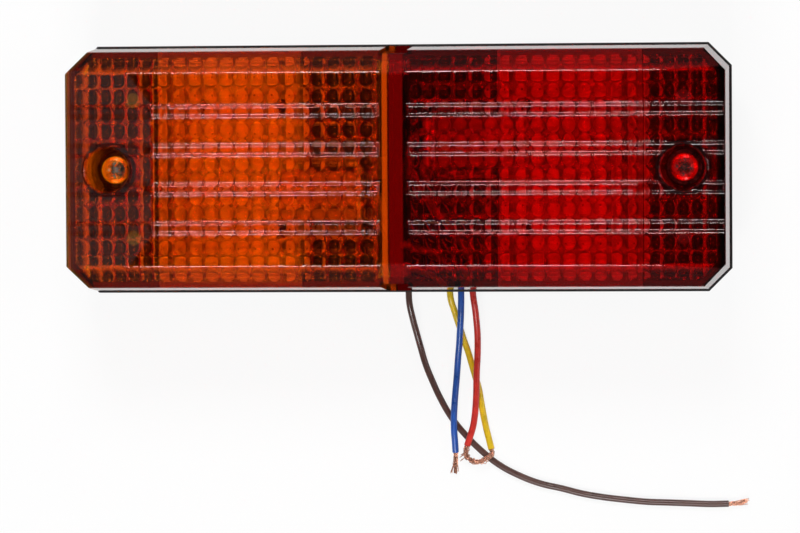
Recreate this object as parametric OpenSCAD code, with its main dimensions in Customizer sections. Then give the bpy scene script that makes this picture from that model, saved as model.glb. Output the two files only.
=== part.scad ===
// Rear light cluster with an amber and a red compartment under one welded two-colour lens.
// The lamp lies on its back: +Z is out of the lens, +X runs from the amber end to the red end.
// The origin is the centre of the back face, which is also the face that it rests on.

/* [Lens] */
// Length of the lens at its front edge
lens_len = 185.3; // [176:0.1:196]
// Width of the lens at its front edge
lens_wid = 66.5; // [63:0.1:74]
// Height of the flat front face over the back face
front_z = 46; // [44:0.5:50]
// Leg of the cut-off corners at the front edge
corner_cut = 6; // [4:0.1:9]
// Wall of the lens moulding
lens_wall = 2.4; // [2:0.1:2.8]
// How far each side wall leans out from the front edge to its foot
skirt_lean = 1.7; // [0.6:0.1:2]
// How far each end wall leans out from the front edge to its foot
end_lean = 1; // [0.6:0.1:2]
// Width of the bevel along each long front edge
bevel_run = 6.4; // [5.5:0.1:8]
// Drop of that bevel from the front face to the side wall
bevel_drop = 3.2; // [2:0.1:4]
// Length of the sloping end section at each end
end_run = 24.6; // [22:0.2:28]
// Drop of an end section from the front face to the end wall
end_drop = 0.6; // [0.4:0.1:2.5]

/* [Lens joint] */
// Half width of the sunk channel across the middle
channel_half = 3.8; // [3:0.1:5]
// Depth of the channel below the lens surface
channel_depth = 1; // [0.6:0.1:1.2]
// Place of the weld between the two colours
joint_x = -1.2; // [-2:0.1:-1]
// Extra wall behind the channel
joint_backing = 0.8; // [0.4:0.1:1.2]

/* [Lens bars] */
// Distance between the raised bars
bar_pitch = 10.92; // [10:0.02:11.5]
// Width of a bar at its foot
bar_foot = 3.8; // [3:0.1:4.6]
// Width of a bar at its flat top
bar_top = 2.2; // [1.4:0.1:2.8]
// Height of a bar over the lens surface
bar_rise = 0.7; // [0.4:0.1:1]

/* [Lens optics] */
// Pitch of the pillow optics along the middle sections
pillow_pitch_x = 4.3; // [4:0.1:5]
// Pitch of the pillow optics along the end sections
pillow_pitch_end = 3.55; // [3.3:0.05:4]
// Pitch of the pillow optics across the lens
pillow_pitch_y = 4.6; // [4.2:0.1:5]
// Height of a pillow over the inner face
pillow_rise = 1.2; // [0.5:0.1:1.4]
// Width of the groove between two pillows
pillow_gap = 0.4; // [0.2:0.1:0.7]
// Width of a pillow's sloping side
pillow_slope = 1.1; // [0.8:0.1:1.3]

/* [Lens screws] */
// Distance between the two lens screws
screw_spacing = 161.6; // [156:0.2:163]
// Radius of the screw recess at its mouth
recess_r = 6.3; // [6:0.1:6.8]
// How much that radius shrinks towards the recess floor
recess_taper = 0.9; // [0.4:0.1:1.1]
// Width of the raised ring round the mouth
recess_ring = 1; // [0.8:0.1:1.4]
// Wall of the recess tube
recess_wall = 1.6; // [1.4:0.1:2]
// Height of the recess floor's upper face, where the screw head seats
recess_floor_z = 29; // [28:0.5:31]
// Thickness of the recess floor
recess_floor = 3; // [2.5:0.1:4]
// Diameter of the screw thread
screw_d = 4; // [3.5:0.5:4]
// Diameter of the pan head
screw_head_d = 8; // [7:0.1:8.4]
// Height of the pan head
screw_head_h = 2.6; // [2.2:0.1:3]
// Length of the screw under its head
screw_len = 18; // [14:1:20]
// Length of the cross recess across the head
cross_len = 4.4; // [3.8:0.1:4.8]
// Depth of the cross recess
cross_deep = 1.7; // [1.2:0.1:2]

/* [Housing] */
// Height of the housing rim over the back face
rim_z = 19; // [17:0.5:21]
// Thickness of the housing floor
floor_t = 2.5; // [2.2:0.1:3]
// Wall of the housing
house_wall = 2.4; // [2:0.1:2.8]
// How far the housing wall stands back from the lens foot
wall_setback = 1.45; // [1.2:0.05:2]
// Height of the rim flange
flange_h = 4; // [3:0.1:6]
// Width of the lip outside the lens foot
rim_lip = 0.4; // [0.3:0.1:1.4]
// Radius of a screw boss
boss_r = 5; // [4.5:0.1:6]
// Thickness of the light barrier between the compartments
barrier_t = 2; // [1.6:0.1:2.4]
// Clearance above the light barrier, up to the lens
barrier_gap = 2; // [1.2:0.1:4]
// Thickness of the stiffening ribs
rib_t = 1.6; // [1.2:0.1:2]

/* [Fixing holes] */
// Distance between the fixing holes along the lamp
fix_x = 160; // [150:1:161]
// Distance between the fixing holes across the lamp
fix_y = 40; // [36:1:44]
// Diameter of a fixing hole
fix_d = 4.5; // [4:0.1:5.5]
// Thickness of the floor at a fixing hole
fix_seat = 4; // [3.5:0.1:5]

/* [Gasket] */
// Depth of the gasket groove
groove_h = 1.5; // [1:0.1:2]
// How far the gasket stands above the rim
gasket_proud = 0.5; // [0.4:0.1:0.8]

/* [Reflectors] */
// Distance from the middle to a reflector's inner edge
refl_in = 28; // [27:0.5:34]
// Clearance between a bulb's glass and the reflector's sloping wall
refl_gap = 0.8; // [0.4:0.1:1.6]
// Half width of a reflector at its upper edge
refl_half = 30; // [27:0.5:30.5]
// How far a reflector's walls lean in towards its floor
refl_lean = 8; // [5:0.5:10]
// Height of a reflector's underside over the back face
refl_z = 5; // [4.5:0.1:6]
// Height of a reflector's walls
refl_h = 14; // [12:0.5:15]
// Thickness of the reflector sheet
refl_t = 0.8; // [0.5:0.1:1]

/* [Bulbs] */
// Distance of each bulb's axis from the long middle line
bulb_y = 7.5; // [7:0.1:8.5]
// How far the bulb axes lie below the middle of the room between reflector and lens
axis_drop = 0.1; // [0:0.1:0.8]
// Diameter of the glass ball
ball_d = 26.5; // [24:0.1:27]
// Length of a bulb from its contact to the tip of the glass
bulb_len = 52.5; // [50:0.5:54]
// Diameter of a bulb cap
cap_d = 15; // [14.6:0.1:15.2]
// Length of a bulb cap
cap_len = 16; // [15:0.5:18]
// Wall of the glass
glass_t = 0.8; // [0.6:0.1:1]

/* [Bulb sockets] */
// Distance from the middle to a socket's back end
socket_u = 9; // [8:0.5:10]
// Length of a socket shell
socket_len = 16; // [15:0.5:18]
// Running clearance of a cap in its socket
socket_gap = 0.15; // [0.1:0.05:0.3]
// Sheet thickness of a socket shell
socket_t = 0.5; // [0.4:0.1:0.6]
// Sheet thickness of a socket bracket
bracket_t = 1; // [0.8:0.1:1.2]
// Thickness of the contact wafer
wafer_t = 1.6; // [1.2:0.1:2]
// Room for the spring behind the wafer
spring_room = 3.5; // [3:0.1:4]

/* [Earth strip and rivets] */
// Width of the earth strip
strip_w = 6.4; // [6:0.1:8]
// Thickness of the earth strip
strip_t = 0.8; // [0.6:0.1:1]
// Diameter of a rivet's shank
rivet_d = 3; // [2.4:0.1:3.2]
// Diameter of a rivet's head
rivet_head_d = 5.2; // [4.6:0.1:5.6]

/* [Wires] */
// Outer diameter of a wire
wire_d = 1.9; // [1.6:0.1:2]
// Height of the wires over the back face where they leave the housing
exit_z = 6; // [5.8:0.1:7]
// Radius of a grommet's body in the housing wall
grommet_r = 2.4; // [2.2:0.1:2.8]
// Width of a grommet's flanges beyond its body
grommet_lip = 0.8; // [0.6:0.1:1]
// Thickness of a grommet's outer flange
grommet_out = 1.6; // [1.2:0.1:2]
// Thickness of a grommet's inner flange
grommet_in = 1.3; // [1:0.1:1.6]

/* [Hidden] */
fine = 64;
small = 32;
tiny = 0.2;

// Slopes of the lens faces
bevel_a = atan(bevel_drop / bevel_run);
end_a = atan(end_drop / end_run);
flat_half = lens_wid / 2 - bevel_run;
kink_x = lens_len / 2 - end_run;
bevel_z = front_z - bevel_drop;
end_z = front_z - end_drop;
foot_z = rim_z + gasket_proud;
inner_z = front_z - lens_wall;

// Outlines are told by their inset from the lens's foot
inside_inset = wall_setback + house_wall;
wall_y = half_y(wall_setback);
inside_y = half_y(inside_inset);
groove_z = rim_z - groove_h;

// Screws, recesses and bosses
screw_x = screw_spacing / 2;
boss_top = recess_floor_z - recess_floor;
gusset_reach = 3;
gusset_drop = 8;
hole_gap = 0.2;
thread_gap = 0.05;
recess_floor_r = recess_r - recess_taper;

// Bars and optics
bar_count = 4;
pillow_cols = floor((kink_x - channel_half - 3) / pillow_pitch_x);
end_cols = floor((end_run - lens_wall) / pillow_pitch_end);
pillow_rows = 2 * ceil(flat_half / pillow_pitch_y);
pillow_start = kink_x - pillow_cols * pillow_pitch_x - tiny;

// Bulb sockets, measured outwards from the middle of the lamp
axis_z = (refl_z + refl_t + inner_z - pillow_rise) / 2 - axis_drop;
shell_r_in = cap_d / 2 + socket_gap;
shell_r_out = shell_r_in + socket_t;
wafer_u = socket_u + socket_t + spring_room;
contact_h = 0.8;
bulb_u = wafer_u + wafer_t + contact_h;
tip_h = 1;
insulator_h = 1.6;
cap_u = bulb_u + tip_h + insulator_h / 2;
cap_wall = 0.5;
ball_u = bulb_u + bulb_len - ball_d / 2;
neck_r = cap_d / 2 - cap_wall - 0.1;
neck_u = cap_u + cap_len / 2;
pin_u = bulb_u + 6.9;
pin_r = 1;
pin_step = 3;
pin_reach = 0.3;
slot_w = 2.4;
second_contact = 3.2;
refl_a = atan(refl_lean / refl_h);
refl_out = ball_u + refl_lean
    + (ball_d / 2 + refl_t + refl_gap - (axis_z - refl_z) * sin(refl_a)) / cos(refl_a);
bracket_u = socket_u + 1;
bracket_half = 10.5;
foot_len = 16;
foot_floor = floor_t + strip_t;
wafer_gap = 0.2;
leg_gap = 0.05;
flange_w = 1.4;

// Notch in a reflector's inner wall, from its upper edge
refl_notch = 10;
refl_notch_deep = 8;

// Posts and staked pins that carry a reflector
pin_post_r = 2.6;
pin_stake_r = 1.2;
pin_stake_h = 0.6;
pin_head_r = 2.2;
pin_head_h = 0.9;
pin_inset = 4;
refl_pins = [for (x = [refl_in + 7, refl_out - refl_lean - pin_inset]) for (y = [-1, 1])
    [x, y * (refl_half - refl_lean - pin_inset)]];

// Offsets of the contacts from a bulb's axis, and the contact rivets in a wafer
single = [0];
double = [-second_contact, second_contact];
contact_r = 1;
contact_tail = 1.5;
contact_swell = 0.5;
contact_face_r = 2;
contact_taper = 0.3;

// Solder contacts in a cap's insulator
tip_r = 1.8;
double_tip_r = 1.5;
tip_taper = 0.5;
tip_root_r = 0.55;
cap_hole_gap = 2.2;

// Shoulder of the glass: how far it ends behind the ball's centre and inside its radius
shoulder_back = 4;
shoulder_in = 1.5;

// Glass stem and the wires on it
stem_rise = 7;
stem_top = cap_u + cap_len + stem_rise;
stem_flare_h = 1.2;
stem_r = 3.6;
pinch_w = 6.4;
pinch_h = 8;
pinch_t = 2;
support_r = 0.3;
coil_r = 0.45;
coil_half = 2.6;
tail_coil_half = 1.5;
tail_lift = 4;

// Notch in the light barrier for the wires
notch_w = 14;
notch_h = 9.5;

// Rivet places: along the lamp and across it
rivet_edge = 4.5;
rivet_in = bracket_u + rivet_edge;
rivet_out = bracket_u + foot_len - rivet_edge;
rivet_across = bulb_y + rivet_edge;
terminal_x = 5;
rivet_places = [
    [rivet_in, 0], [rivet_out, rivet_across],
    [-rivet_in, 0], [-rivet_out, -rivet_across],
    [terminal_x, 0]
];
rivet_head_h = 1.1;
rivet_sink = 1.4;

// Wires
tube_sides = 8;
grommet_face = wall_y + grommet_out;
grommet_back = inside_y - grommet_in;
wire_bore_r = wire_d / 2 + 0.05;
strand_d = 1.3;
barrel_start = -(rivet_head_d / 2 + 0.6);
barrel_end = barrel_start - 6;
barrel_z = foot_floor + bracket_t / 2 + 0.6;
barrel_r = 1.5;
terminal_neck = 2.4;

// Routes of the loose wires over the surface, from the grommets to the bared ends
brown_route = [
    [0.6, -grommet_face, exit_z], [0.8, -39, 5.8], [1.6, -43.5, 4.4], [2.5, -47.5, 2.7],
    [3.6, -52, 1.4], [5, -57, 1], [7, -62, 1], [9.3, -67, 1], [12.5, -72.5, 1], [16.5, -77.5, 1],
    [21, -82, 1], [26, -86, 1], [31.5, -89, 1], [38, -91.5, 1], [44.5, -93, 1], [50.5, -94.5, 1],
    [56.5, -95.5, 1], [62.5, -96.2, 1], [69, -96.8, 1], [75, -97, 1], [81, -97.2, 1],
    [87, -97.4, 1], [92.5, -97.3, 1]
];
yellow_route = [
    [12.5, -grommet_face, exit_z], [12.8, -38, 5.7], [13.6, -41, 4.4], [14.4, -44, 3],
    [15.3, -47, 1.8], [16.2, -50, 1.2], [17.4, -53.5, 1], [18.4, -57, 1], [19.4, -60.5, 1],
    [20.4, -64, 1], [21, -67.5, 1], [21.6, -71, 1], [22.4, -75, 1.2], [23.3, -78.5, 1.8],
    [24.1, -81.5, 2.4]
];
blue_route = [
    [15.8, -grommet_face, exit_z], [15.8, -38, 5.9], [15.7, -41, 5.5], [15.5, -44.5, 4.7],
    [15.2, -48, 3.8], [14.9, -51.5, 2.7], [14.5, -55, 1.8], [14.2, -58.5, 1.2], [13.9, -62, 1],
    [13.6, -65.5, 1.4], [13.4, -69, 2.3], [13.3, -72.5, 3.1], [13.3, -76, 2.9],
    [13.5, -79.5, 2.2], [13.6, -82.4, 1.4]
];
red_route = [
    [19.1, -grommet_face, exit_z], [19.4, -38, 5.8], [19.8, -41, 5.2], [20.1, -44.5, 4.3],
    [20.3, -48, 3.6], [20.3, -51.5, 3.1], [20.2, -55, 2.9], [20, -58.5, 3], [19.9, -62, 3.1],
    [19.8, -65.5, 3], [19.6, -69, 3], [19.3, -72, 2.9], [18.8, -75, 3], [17.9, -78, 3.1],
    [17.1, -80.4, 3]
];

// Bared copper at the ends of the wires
brown_strand_route = [[92.6, -97.3, 1], [95.5, -97, 1], [98.4, -96, 1.4]];
blue_strand_route = [[13.6, -82.5, 1.4], [13.6, -85.5, 0.9], [13.4, -89, 0.8]];
twist_route = [
    [17.06, -80.52, 3], [16.6, -81.9, 2.9], [16.9, -83.6, 2.2], [18.2, -84.9, 1.4],
    [20, -85.4, 1.6], [21.7, -84.9, 2.5], [23, -83.9, 2.8], [24, -83.2, 2.8],
    [24.35, -82.5, 2.6], [24.13, -81.62, 2.42]
];

// Routes of the same wires inside the housing, from the grommets to their terminals
brown_lead_route = [
    [0.6, -grommet_back, exit_z], [1, -26, 5.7], [2.4, -20.5, 5], [4.2, -16, 4.6],
    [terminal_x, -12.5, barrel_z], [terminal_x, barrel_end, barrel_z]
];
yellow_lead_route = [
    [12.5, -grommet_back, exit_z], [11.8, -27, 5.8], [8.5, -24.4, 5.6], [4, -23, 6.9],
    [-0.5, -21.8, 8.2], [-4, -19.5, 10.4], [-5.6, -16, 13.5], [-5.4, -12.5, 17.5],
    [-5.4, -9.6, 21], [-6.8, -8, axis_z - 0.8], [-9, -bulb_y, axis_z],
    [-wafer_u + 1.5, -bulb_y, axis_z]
];
blue_lead_route = [
    [15.8, -grommet_back, exit_z], [15.4, -26.5, 6.2], [13.5, -22, 7.5], [10.5, -16.5, 10],
    [7.5, -10.5, 13.5], [5.6, -5, 17.5], [5, -0.5, 21], [5.8, 2.8, axis_z - 0.8],
    [8.2, bulb_y - second_contact, axis_z], [wafer_u - 1.5, bulb_y - second_contact, axis_z]
];
red_lead_route = [
    [19.1, -grommet_back, exit_z], [19, -26.5, 6.8], [17.5, -22, 9.5], [14, -17, 13],
    [9.8, -11.5, 16.5], [6, -6, 20], [3.4, -0.5, axis_z - 0.5], [2.8, 4.5, axis_z + 1.5],
    [4, 8.6, axis_z + 1.4], [6.4, 10.5, axis_z + 0.4],
    [9, bulb_y + second_contact, axis_z], [wafer_u - 1.5, bulb_y + second_contact, axis_z]
];

// The grommets sit where the routes leave the wall
earth_x = brown_route[0][0];
feed_x = blue_route[0][0];
feed_pitch = red_route[0][0] - feed_x;

// Half sizes and corner of an outline that lies inset from the lens's foot
function half_x(inset) = lens_len / 2 + end_lean - inset;
function half_y(inset) = lens_wid / 2 + skirt_lean - inset;
function cut(inset) =
    corner_cut + end_lean + skirt_lean * (1 - sqrt(2)) - inset * (2 - sqrt(2));

// How far a corner between an upright wall and a face of slope a drops when both move in by 1
function corner_drop(a) = (1 - sin(a)) / cos(a);

// Rings of a round tube along a route
function unit(v) = v / norm(v);
function heading(route, i) =
    unit(route[min(i + 1, len(route) - 1)] - route[max(i - 1, 0)]);
function ring(p, dir, r) =
    let (side = unit(cross(dir, [0, 0, 1])), up = cross(side, dir))
    [for (k = [0 : tube_sides - 1])
        let (a = 360 * k / tube_sides)
        p + r * (cos(a) * side + sin(a) * up)];
function helix(r, turns, rise, per_turn) =
    [for (i = [0 : turns * per_turn])
        let (a = 360 * i / per_turn)
        [r * cos(a), r * sin(a), rise * i / (turns * per_turn)]];

module tube(route, d) {
    last = len(route) - 1;
    rings = [for (i = [0 : last]) each ring(route[i], heading(route, i), d / 2)];
    walls = [for (i = [0 : last - 1]) for (k = [0 : tube_sides - 1])
        let (n = (k + 1) % tube_sides, a = i * tube_sides, b = a + tube_sides)
        each [[a + k, a + n, b + n], [a + k, b + n, b + k]]];
    start = [for (k = [tube_sides - 1 : -1 : 0]) k];
    end = [for (k = [0 : tube_sides - 1]) last * tube_sides + k];
    polyhedron(points = rings, faces = concat([start], walls, [end]), convexity = 8);
}

// Rectangle with cut-off corners, inset from the lens's foot
module outline(inset) {
    a = half_x(inset);
    b = half_y(inset);
    c = cut(inset);
    polygon([
        [a - c, b], [a, b - c], [a, c - b], [a - c, -b],
        [c - a, -b], [-a, c - b], [-a, b - c], [c - a, b]
    ]);
}

module slab(inset, z0, z1) {
    translate([0, 0, z0]) linear_extrude(z1 - z0) outline(inset);
}

// Stands a profile drawn in Y and Z up along X, centred
module along_x(length) {
    rotate([90, 0, 90]) translate([0, 0, -length / 2]) linear_extrude(length) children();
}

// Stands a profile drawn in X and Z up along Y, centred
module along_y(length) {
    rotate([90, 0, 0]) translate([0, 0, -length / 2]) linear_extrude(length) children();
}

// Solid form of the lens, with every face moved in by t
module lens_form(t) {
    z = foot_z - tiny * (t > 0 ? 1 : 0);
    x = lens_len / 2 - t;
    y = lens_wid / 2 - t;
    end = end_lean * (end_z - z) / (end_z - foot_z);
    side = skirt_lean * (bevel_z - z) / (bevel_z - foot_z);
    intersection() {
        along_x(2 * lens_len) polygon([
            [-y - side, z], [y + side, z],
            [y, bevel_z - t * corner_drop(bevel_a)],
            [flat_half - t * tan(bevel_a / 2), front_z - t],
            [t * tan(bevel_a / 2) - flat_half, front_z - t],
            [-y, bevel_z - t * corner_drop(bevel_a)]
        ]);
        along_y(2 * lens_len) polygon([
            [-x - end, z], [x + end, z],
            [x, end_z - t * corner_drop(end_a)],
            [kink_x - t * tan(end_a / 2), front_z - t],
            [t * tan(end_a / 2) - kink_x, front_z - t],
            [-x, end_z - t * corner_drop(end_a)]
        ]);
        corner_prism(45, t, z, side);
        corner_prism(-45, t, z, side);
    }
}

// Slanting prism whose sides are two opposite cut-off corners
module corner_prism(turn, t, z, lean) {
    diag = (lens_len / 2 + lens_wid / 2 - corner_cut) / sqrt(2) - t;
    shrink = skirt_lean * (front_z - bevel_z) / (bevel_z - foot_z);
    rotate(turn) along_y(2 * lens_len) polygon([
        [-diag - lean, z], [diag + lean, z],
        [diag - shrink, front_z], [shrink - diag, front_z]
    ]);
}

// Row of trapezoid ridges that point down from the line z = 0, the first one starting at x = 0
module ridges(count, pitch) {
    for (i = [0 : count - 1]) {
        a = i * pitch + pillow_gap / 2;
        b = (i + 1) * pitch - pillow_gap / 2;
        polygon([
            [a, pillow_rise], [a, 0], [a + pillow_slope, -pillow_rise],
            [b - pillow_slope, -pillow_rise], [b, 0], [b, pillow_rise]
        ]);
    }
}

// Field of pillow optics where two sets of crossing ridges meet, centred across the lens
module pillows(cols, pitch, rows) {
    wide = cols * pitch;
    deep = rows * pillow_pitch_y;
    intersection() {
        along_y(deep) ridges(cols, pitch);
        translate([wide / 2, -deep / 2, 0]) along_x(wide + 2) ridges(rows, pillow_pitch_y);
    }
}

// The three strips of pillows of one section: the flat and the two bevels
module pillow_section(cols, pitch) {
    pillows(cols, pitch, pillow_rows);
    mid = flat_half + bevel_run / 2 - lens_wall / 2;
    drop = (mid - flat_half + lens_wall * tan(bevel_a / 2)) * tan(bevel_a);
    for (s = [-1, 1])
        translate([0, s * mid, -drop]) rotate([-s * bevel_a, 0, 0]) pillows(cols, pitch, 1);
}

// Trapezoid bars on the outside of one section
module bars(length) {
    translate([length / 2, 0, 0]) along_x(length)
        for (i = [0 : bar_count - 1])
            translate([(i - (bar_count - 1) / 2) * bar_pitch, 0]) polygon([
                [-bar_foot / 2, -tiny], [bar_foot / 2, -tiny], [bar_foot / 2, 0],
                [bar_top / 2, bar_rise], [-bar_top / 2, bar_rise], [-bar_foot / 2, 0]
            ]);
}

// One half of the lens, on the +X side of the weld at x = joint
module lens_half(joint) {
    difference() {
        union() {
            difference() {
                lens_form(0);
                lens_hollow();
                channel();
            }
            intersection() {
                lens_form(lens_wall / 2);
                union() {
                    translate([pillow_start, 0, inner_z])
                        pillow_section(pillow_cols, pillow_pitch_x);
                    translate([kink_x, 0, inner_z]) rotate([0, end_a, 0])
                        pillow_section(end_cols, pillow_pitch_end);
                }
            }
            middle_bars();
            end_bars();
            recess_tube();
        }
        recess_hole();
        translate([joint - lens_len, -lens_wid, 0]) cube([lens_len, 2 * lens_wid, 2 * front_z]);
    }
}

// Bars of the middle section, with sloping ends at the channel and mitred ends at the kink
module middle_bars() {
    intersection() {
        translate([0, 0, front_z]) bars(kink_x + 1);
        along_y(lens_wid) polygon([
            [channel_half, front_z - 1], [channel_half, front_z],
            [channel_half + bar_rise, front_z + bar_rise],
            [kink_x + bar_rise * tan(end_a / 2), front_z + bar_rise],
            [kink_x - tan(end_a / 2), front_z - 1]
        ]);
    }
}

// Bars of the sloping end section, mitred to those of the middle section
module end_bars() {
    low = front_z - end_drop - 2;
    intersection() {
        translate([kink_x, 0, front_z]) rotate([0, end_a, 0]) translate([-1, 0, 0])
            bars(end_run / cos(end_a) + 1);
        along_y(lens_wid) polygon([
            [kink_x - (front_z - low) * tan(end_a / 2), low],
            [kink_x + 2 * tan(end_a / 2), front_z + 2],
            [lens_len / 2, front_z + 2], [lens_len / 2, low]
        ]);
    }
}

module lens_hollow() {
    backing = channel_half + joint_backing;
    difference() {
        lens_form(lens_wall);
        translate([-backing, -lens_wid, 0]) cube([2 * backing, 2 * lens_wid, 2 * front_z]);
    }
    lens_form(lens_wall + joint_backing);
}

module channel() {
    difference() {
        translate([-channel_half, -lens_wid, 0])
            cube([2 * channel_half, 2 * lens_wid, 2 * front_z]);
        lens_form(channel_depth);
        translate([-lens_len, -lens_wid, 0]) cube([2 * lens_len, 2 * lens_wid, foot_z + 1]);
    }
}

module recess_tube() {
    h = front_z - end_drop - boss_top;
    translate([screw_x, 0, boss_top]) {
        cylinder(h = h, r1 = recess_floor_r + recess_wall, r2 = recess_r + recess_wall, $fn = fine);
        cylinder(h = front_z - boss_top, r = recess_r + recess_ring, $fn = fine);
    }
}

module recess_hole() {
    translate([screw_x, 0, recess_floor_z]) {
        cylinder(h = front_z - recess_floor_z + 1, r1 = recess_floor_r, r2 = recess_r, $fn = fine);
        translate([0, 0, -recess_floor - 1])
            cylinder(h = recess_floor + 2, d = screw_d + 2 * hole_gap, $fn = fine);
    }
}

module amber_lens() {
    color([0.95, 0.42, 0.05, 0.75]) mirror([1, 0, 0]) lens_half(-joint_x);
}

module red_lens() {
    color([0.72, 0.03, 0.05, 0.75]) lens_half(joint_x);
}

// Pan head screw with a cross recess, its head seated at z = 0
module pan_screw() {
    dome_r = screw_head_d * 0.85;
    difference() {
        union() {
            intersection() {
                cylinder(h = screw_head_h, d = screw_head_d, $fn = fine);
                translate([0, 0, screw_head_h - dome_r]) sphere(dome_r, $fn = fine);
            }
            translate([0, 0, -screw_len]) cylinder(h = screw_len + tiny, d = screw_d, $fn = small);
        }
        for (turn = [0, 90]) rotate(turn)
            translate([0, 0, screw_head_h - cross_deep]) along_y(1)
                polygon([
                    [-cross_len / 4, 0], [cross_len / 4, 0],
                    [cross_len / 2, cross_deep + tiny], [-cross_len / 2, cross_deep + tiny]
                ]);
    }
}

module lens_screws() {
    color([0.78, 0.78, 0.76])
        for (s = [-1, 1]) translate([s * screw_x, 0, recess_floor_z]) pan_screw();
}

module gasket() {
    color([0.08, 0.08, 0.08]) difference() {
        slab(0, groove_z, foot_z);
        slab(lens_wall, groove_z - 1, foot_z + 1);
    }
}

// Obround body across the housing wall, for count wires
module grommet_body(count, r, y0, y1) {
    wide = (count - 1) * feed_pitch;
    translate([0, -y0, exit_z]) rotate([90, 0, 0]) linear_extrude(y1 - y0) {
        for (s = [-1, 1]) translate([s * wide / 2, 0]) circle(r, $fn = small);
        translate([-wide / 2, -r]) square([wide + 0.001, 2 * r]);
    }
}

module grommet(count) {
    color([0.06, 0.06, 0.06]) difference() {
        union() {
            grommet_body(count, grommet_r, grommet_back, grommet_face);
            grommet_body(count, grommet_r + grommet_lip, grommet_back, inside_y);
            grommet_body(count, grommet_r + grommet_lip, wall_y, grommet_face);
        }
        for (i = [0 : count - 1])
            translate([(i - (count - 1) / 2) * feed_pitch, -grommet_back + 1, exit_z])
                rotate([90, 0, 0])
                    cylinder(h = grommet_face - grommet_back + 2, r = wire_bore_r, $fn = small);
    }
}

module earth_grommet() {
    translate([earth_x, 0, 0]) grommet(1);
}

module feed_grommet() {
    translate([feed_x, 0, 0]) grommet(3);
}

// Housing: one black moulding with its rim, bosses, barrier, ribs and seats
module housing() {
    color([0.05, 0.05, 0.05]) difference() {
        union() {
            housing_tray();
            screw_bosses();
            light_barrier();
            floor_seats();
            fixing_seats();
        }
        gasket_groove();
        for (s = [-1, 1]) translate([s * screw_x, 0, recess_floor_z - screw_len - 1])
            cylinder(h = screw_len, r = screw_d / 2 + thread_gap, $fn = fine);
        for (x = [-1, 1]) for (y = [-1, 1]) translate([x * fix_x / 2, y * fix_y / 2, -1])
            cylinder(h = fix_seat + 2, d = fix_d, $fn = fine);
        for (p = rivet_places) translate([p[0], p[1], -1]) {
            cylinder(h = foot_floor + 2, r = rivet_d / 2 + thread_gap, $fn = small);
            cylinder(h = 1 + rivet_sink, r = rivet_head_d / 2 + hole_gap, $fn = small);
        }
        translate([earth_x, 0, 0]) grommet_body(1, grommet_r, inside_y - 1, wall_y + 1);
        translate([feed_x, 0, 0]) grommet_body(3, grommet_r, inside_y - 1, wall_y + 1);
    }
}

module housing_tray() {
    difference() {
        union() {
            slab(wall_setback, 0, rim_z);
            slab(-rim_lip, rim_z - flange_h, rim_z);
        }
        slab(inside_inset, floor_t, rim_z + 1);
    }
}

// Groove in the rim that holds the gasket
module gasket_groove() {
    difference() {
        slab(0, groove_z, rim_z + 1);
        slab(lens_wall, groove_z - 1, rim_z + 2);
    }
}

module screw_bosses() {
    for (s = [-1, 1]) translate([s * screw_x, 0, 0]) {
        translate([0, 0, floor_t - tiny])
            cylinder(h = boss_top - floor_t + tiny, r = boss_r, $fn = fine);
        for (turn = [0 : 90 : 270]) rotate(turn) translate([0, -rib_t / 2, 0])
            along_rib(boss_r + gusset_reach, boss_top - gusset_drop);
    }
}

// Triangular gusset that leans against a boss
module along_rib(reach, top) {
    translate([0, rib_t, 0]) rotate([90, 0, 0]) linear_extrude(rib_t)
        polygon([[boss_r / 2, floor_t - tiny], [reach, floor_t - tiny], [boss_r / 2, top]]);
}

module light_barrier() {
    top = inner_z - joint_backing - barrier_gap;
    half = lens_wid / 2 - lens_wall - joint_backing - 1;
    difference() {
        union() {
            translate([joint_x - barrier_t / 2, -inside_y - tiny, floor_t - tiny])
                cube([barrier_t, 2 * (inside_y + tiny), groove_z - floor_t]);
            translate([joint_x - barrier_t / 2, -half, floor_t])
                cube([barrier_t, 2 * half, top - floor_t]);
        }
        translate([-lens_len, -strip_w / 2 - hole_gap, floor_t])
            cube([2 * lens_len, strip_w + 2 * hole_gap, strip_t + hole_gap]);
        translate([-lens_len, -inside_y, floor_t]) cube([2 * lens_len, notch_w, notch_h]);
    }
}

// Pads under the socket brackets, and posts with staked pins for the reflectors
module floor_seats() {
    for (s = [-1, 1]) {
        rotate(s < 0 ? 180 : 0)
            translate([bracket_u + 2, strip_w / 2 + hole_gap, floor_t - tiny])
                cube([foot_len - 2, bulb_y + bracket_half - strip_w / 2 - hole_gap,
                    strip_t + tiny]);
        for (p = refl_pins) translate([s * p[0], p[1], floor_t - tiny]) {
            cylinder(h = refl_z - floor_t + tiny, r = pin_post_r, $fn = small);
            cylinder(h = refl_z - floor_t + refl_t + pin_stake_h, r = pin_stake_r, $fn = small);
            translate([0, 0, refl_z - floor_t + refl_t + tiny])
                cylinder(h = pin_head_h, r1 = pin_head_r, r2 = pin_head_r / 2, $fn = small);
        }
    }
}

module fixing_seats() {
    for (x = [-1, 1]) for (y = [-1, 1]) translate([x * fix_x / 2, y * fix_y / 2, floor_t - tiny])
        cylinder(h = fix_seat - floor_t + tiny, r = fix_d / 2 + 3, $fn = fine);
}

// Tapered tray that a reflector is pressed to, grown or shrunk by t
module refl_form(t) {
    low = refl_z + t;
    top = refl_z + refl_h + (t > 0 ? 1 : 0);
    lean = refl_lean * (top - low) / refl_h;
    x = refl_out - refl_lean - t;
    y = refl_half - refl_lean - t;
    intersection() {
        along_x(2 * lens_len)
            polygon([[-y, low], [y, low], [y + lean, top], [-y - lean, top]]);
        along_y(lens_wid)
            polygon([[refl_in + t, low], [x, low], [x + lean, top], [refl_in + t, top]]);
    }
}

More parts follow.
